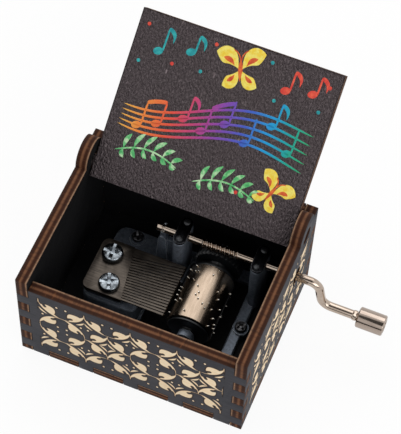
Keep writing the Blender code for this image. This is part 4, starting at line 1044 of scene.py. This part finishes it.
GROOVE_EDGES = np.repeat(GROOVE, 3) + np.tile((-0.02, 0.0, 0.02), 2)
left_run = np.concatenate([
    SHAFT_LEFT + np.array((0.0, 0.0, 0.05, 0.12, 0.22, 0.35)),
    GROOVE_EDGES,
    np.arange(-5.7, DRUM_X - WORM_HALF - 0.6, 0.6),
    np.linspace(DRUM_X - WORM_HALF - 0.5, DRUM_X + WORM_HALF + 0.5, 230),
    np.arange(DRUM_X + WORM_HALF + 1, first_bend[0, 0], 1.0),
])
right_run = np.concatenate([
    np.arange(second_bend[-1, 0] + 0.4, STOP[0] - 0.3, 0.5),
    np.linspace(STOP[0] - 0.3, STOP[1] + 0.2, 26),
    np.arange(STOP[1] + 0.6, WIRE_END - 0.9, 0.8),
    np.linspace(WIRE_END - 0.75, WIRE_END, 14),
])


def worm_radius(x, angle):
    """A wave whose crest climbs along the shaft as the angle grows, faded in over 0.5 mm at each end."""
    wave = np.cos(WORM_STARTS * (angle + pi / 2) - 2 * pi * (x - DRUM_X) / WORM_PITCH)
    fade = np.clip((WORM_HALF - np.abs(x - DRUM_X)) / 0.5, 0, 1)
    return SHAFT_RADIUS + fade * (WORM_MIDDLE - SHAFT_RADIUS + WORM_WAVE * wave)


def shaft_radius(x, angle):
    """The plain wire, less its groove and its rounded end, with the worm in the middle."""
    radius = np.where(np.abs(x - DRUM_X) < WORM_HALF, worm_radius(x, angle), SHAFT_RADIUS)
    groove = np.clip((x - GROOVE[0]) / 0.02, 0, 1) * np.clip((GROOVE[1] - x) / 0.02, 0, 1)
    radius = radius - GROOVE_DEPTH * groove
    from_end = np.clip((x - SHAFT_LEFT) / 0.35, 0, 1)
    return radius - 0.35 * (1 - np.sqrt(1 - (1 - from_end) ** 2))


def handle_radius(x, angle):
    """Two ears where the wire is pinched flat, and a head spread by the hammer at the end."""
    middle = (STOP[0] + STOP[1]) / 2
    pinch = np.clip(1 - ((x - middle) / 0.65) ** 2, 0, 1) ** 0.5
    radius = SHAFT_RADIUS + pinch * (STOP_EARS * np.cos(2 * angle) - 0.04)
    from_end = WIRE_END - x
    spread = np.clip(1 - ((from_end - 0.35) / 0.25) ** 2, 0, 1) ** 0.5
    dome = 0.5 * (1 - np.sqrt(np.clip(1 - np.clip(1 - from_end / 0.3, 0, 1) ** 2, 0, 1)))
    return radius + PEEN * spread * (from_end < 0.6) - dome


def crank_grid(around=64):
    """Rings across the wire, square to its heading, from the left end of the shaft to the handle's end."""
    angle = circle(around)[None, :]
    left, right = left_run[:, None], right_run[:, None]
    bend = np.full((len(first_bend), around), SHAFT_RADIUS)
    radius = np.concatenate([shaft_radius(left, angle + LEAN), bend, bend, handle_radius(right, angle)])
    radius[0] = 0
    radius[-1] = 0
    across = np.concatenate([left_run, first_bend[:, 0], second_bend[:, 0], right_run])
    down = np.concatenate([0 * left_run, first_bend[:, 1], second_bend[:, 1], 0 * right_run + ARM_DROP])
    heading = np.concatenate([0 * left_run, first_turn, second_turn, 0 * right_run])
    middle = np.array(SHAFT) + across[:, None] * X_AXIS + down[:, None] * DOWN
    lift = np.sin(heading)[:, None] * X_AXIS - np.cos(heading)[:, None] * DOWN
    beside = np.array((0.0, cos(LEAN), sin(LEAN)))
    spoke = np.cos(angle)[..., None] * beside + np.sin(angle)[..., None] * lift[:, None, :]
    return (middle[:, None, :] + radius[..., None] * spoke) * MM


# %% Crank, snap ring and knob
wire_metal = metal(
    "wire_metal", (164, 148, 135), (192, 177, 163), 0.13, 1200.0, (0.15, 1.0, 1.0), 0.003, 0.08
)
settle(surface("crank_wire", crank_grid()), "crank", wire_metal, "crank_steel", "crank_shaft", sharp=50)


def clip_grid(around=20):
    """A thin tube round the groove; its ends turn out from the shaft and swell into beads.

    A row's angle gives its place on the ring. Near both ends the ring's radius climbs and the tube's own
    radius follows a ball's outline, the square root of one minus the distance squared.
    """
    opening, middle = radians(150), pi / 2 - radians(10)
    share = np.concatenate([np.linspace(0, 0.12, 16), np.linspace(0.14, 0.86, 40), np.linspace(0.88, 1, 16)])
    turn = middle + opening / 2 + share * (2 * pi - opening)
    from_end = np.minimum(share, 1 - share) * (2 * pi - opening)
    far = 1.2 + 0.72 * np.clip(1 - from_end / 0.42, 0, 1) ** 1.5
    ball = 0.6 * np.sqrt(np.clip(1 - ((from_end - 0.31) / 0.31) ** 2, 0, 1))
    radius = np.maximum(ball, 0.28 * (from_end > 0.3))
    ring_x = np.full_like(turn, sum(GROOVE) / 2)
    points = np.stack([ring_x, SHAFT.y + far * np.cos(turn), SHAFT.z + far * np.sin(turn)], axis=1)
    out = np.stack([0 * turn, np.cos(turn), np.sin(turn)], axis=1)
    angle = circle(around)[None, :, None]
    spoke = np.cos(angle) * out[:, None, :] + np.sin(angle) * X_AXIS
    return (points[:, None, :] + radius[:, None, None] * spoke) * MM


settle(surface("snap_ring", clip_grid()), "crank", zinc, "bright_screw", "shaft_clip", sharp=60)

KNOB_RADIUS = 2.9
KNOB_BORE = 1.4
RECESS_RADIUS = 1.95
KNOB_FLOOR = KNOB_LENGTH - KNOB_RECESS
knob_profile = eased_profile([
    (KNOB_BORE, 0.2), (KNOB_BORE + 0.12, 0), (KNOB_RADIUS - 0.3, 0), (KNOB_RADIUS, 0.3),
    (KNOB_RADIUS, KNOB_LENGTH - 0.3), (KNOB_RADIUS - 0.3, KNOB_LENGTH),
    (RECESS_RADIUS + 0.1, KNOB_LENGTH), (RECESS_RADIUS, KNOB_LENGTH - 0.1),
    (RECESS_RADIUS, KNOB_FLOOR), (KNOB_BORE + 0.12, KNOB_FLOOR), (KNOB_BORE, KNOB_FLOOR - 0.2),
], 0.08)
knob_middle = np.array(SHAFT) + DOWN * ARM_DROP + KNOB_START * X_AXIS
knob_metal = metal(
    "knob_metal", (154, 139, 128), (177, 163, 152), 0.14, 1500.0, (0.12, 1.0, 1.0), 0.003, 0.08
)
knob = turned("knob_sleeve", knob_profile, knob_middle, "X", 120, bored=True)
settle(knob, "knob", knob_metal, "knob_metal", "crank_knob")

# %% [markdown]
# ## Drum
# Each pin on the drum lifts one tooth of the comb. The tune is a rule that walks up and down the teeth. It is
# the CAD's own rule, so the pins stand in the same places, but they are thinner and a little shorter. All
# pins are one stack of grids: a small domed peg is worked out once and carried to each place round and along
# the drum.

# %% Drum and pins
DRUM_RADIUS = 6.4
DRUM_FRONT, DRUM_BACK = -10.0, 7.0
TEETH = 18
TOOTH_PITCH = 0.912
PIN_REACH = 6.95
BEATS = 26


def pin_places():
    """Tooth and angle of each pin: a melody of two waves, and two slower voices that skip along the comb."""
    step = 2 * pi / BEATS
    beat = np.arange(BEATS)
    angle = (beat + 0.5) * step
    wander = (np.sin(2 * angle) + np.sin(5 * angle) / 2) / 3
    melody = np.round((TEETH - 1) * (0.5 + wander)).astype(int)
    bass = (7 * beat + 3) % TEETH
    turn = (5 * beat + 11) % TEETH
    more_bass = bass != melody
    more_turn = (beat % 2 == 1) & (turn != melody) & (turn != bass)
    tooth = np.concatenate([melody, bass[more_bass], turn[more_turn]])
    place = np.concatenate([angle, angle[more_bass] + step / 3, angle[more_turn] - step / 3])
    return tooth, place


def pins(name, around=10):
    """Every pin as its own small closed peg: rings of a tapering radius that end in a dome."""
    tooth, place = pin_places()
    height = np.array((DRUM_RADIUS - 0.2, DRUM_RADIUS + 0.05, PIN_REACH - 0.1, PIN_REACH - 0.02, PIN_REACH))
    radius = np.array((0.27, 0.26, 0.22, 0.15, 0.0))
    angle = circle(around)
    side = radius[:, None] * np.cos(angle)
    length = radius[:, None] * np.sin(angle)
    y = (TEETH - 1) / 2 - tooth
    y = (DRUM_FRONT + DRUM_BACK) / 2 + y * TOOTH_PITCH
    out = np.stack([np.cos(place), 0 * place, np.sin(place)], axis=1)
    across = np.stack([-np.sin(place), 0 * place, np.cos(place)], axis=1)
    foot = np.stack([0 * y + DRUM_X, y, 0 * y + DRUM_Z], axis=1)
    grid = foot[:, None, None, :] + height[None, :, None, None] * out[:, None, None, :]
    grid = grid + side[None, :, :, None] * across[:, None, None, :]
    grid = grid + length[None, :, :, None] * np.array((0.0, 1.0, 0.0))
    print(len(tooth), "pins")
    return surface(name, grid * MM)


drum_metal = metal("drum_metal", (140, 124, 108), (164, 147, 130), 0.22, 1700.0, (1.0, 0.12, 1.0), 0.004, 0.1)
pin_metal = metal("pin_metal", (178, 172, 162), (214, 208, 198), 0.22, 2600.0)
drum_profile = [
    (1.1, DRUM_FRONT + 0.1), (1.2, DRUM_FRONT), (6.3, DRUM_FRONT), (DRUM_RADIUS, DRUM_FRONT + 0.1),
    (DRUM_RADIUS, DRUM_BACK - 0.1), (6.3, DRUM_BACK), (1.2, DRUM_BACK), (1.1, DRUM_BACK - 0.1),
]
drum = turned("drum_cylinder", drum_profile, (DRUM_X, 0, DRUM_Z), "Y", 160, bored=True)
settle(drum, "drum", drum_metal, "drum_metal", "music_drum")
settle(pins("drum_pins"), "drum", pin_metal, "drum_metal")

# %% Cap, axle and wheel
plastic = metal("black_plastic", (10, 12, 14), (24, 27, 30), 0.42, 1500.0, relief=0.008, plated=0.0)
cap_profile = [(1.1, -11.25), (2.2, -11.25), (2.2, -10.7), (5.8, -10.7), (5.8, -10.15), (1.1, -10.15)]
cap_profile = eased_profile([*cap_profile, cap_profile[0]], 0.12)[:-1]
cap = turned("drum_cap", cap_profile, (DRUM_X, 0, DRUM_Z), "Y", 96, bored=True)
settle(cap, "drum", plastic, "black_plastic", "drum_front_cap")

axle_metal = metal("axle_metal", (140, 150, 160), (190, 198, 205), 0.25, 2200.0)
axle_profile = eased_profile([(0, -13.55), (1.0, -13.55), (1.0, 17.0), (0, 17.0)], 0.2)
axle = turned("axle_pin", axle_profile, (DRUM_X, 0, DRUM_Z), "Y", 48)
settle(axle, "drum", axle_metal, "axle_steel", "drum_axle")

dress(eased("worm_wheel", "drum", 0.04 * MM, 1), plastic)

# %% Size, and the end
low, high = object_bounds()
print("visual box in mm:", [round(value / MM, 2) for value in (*low, *high)])
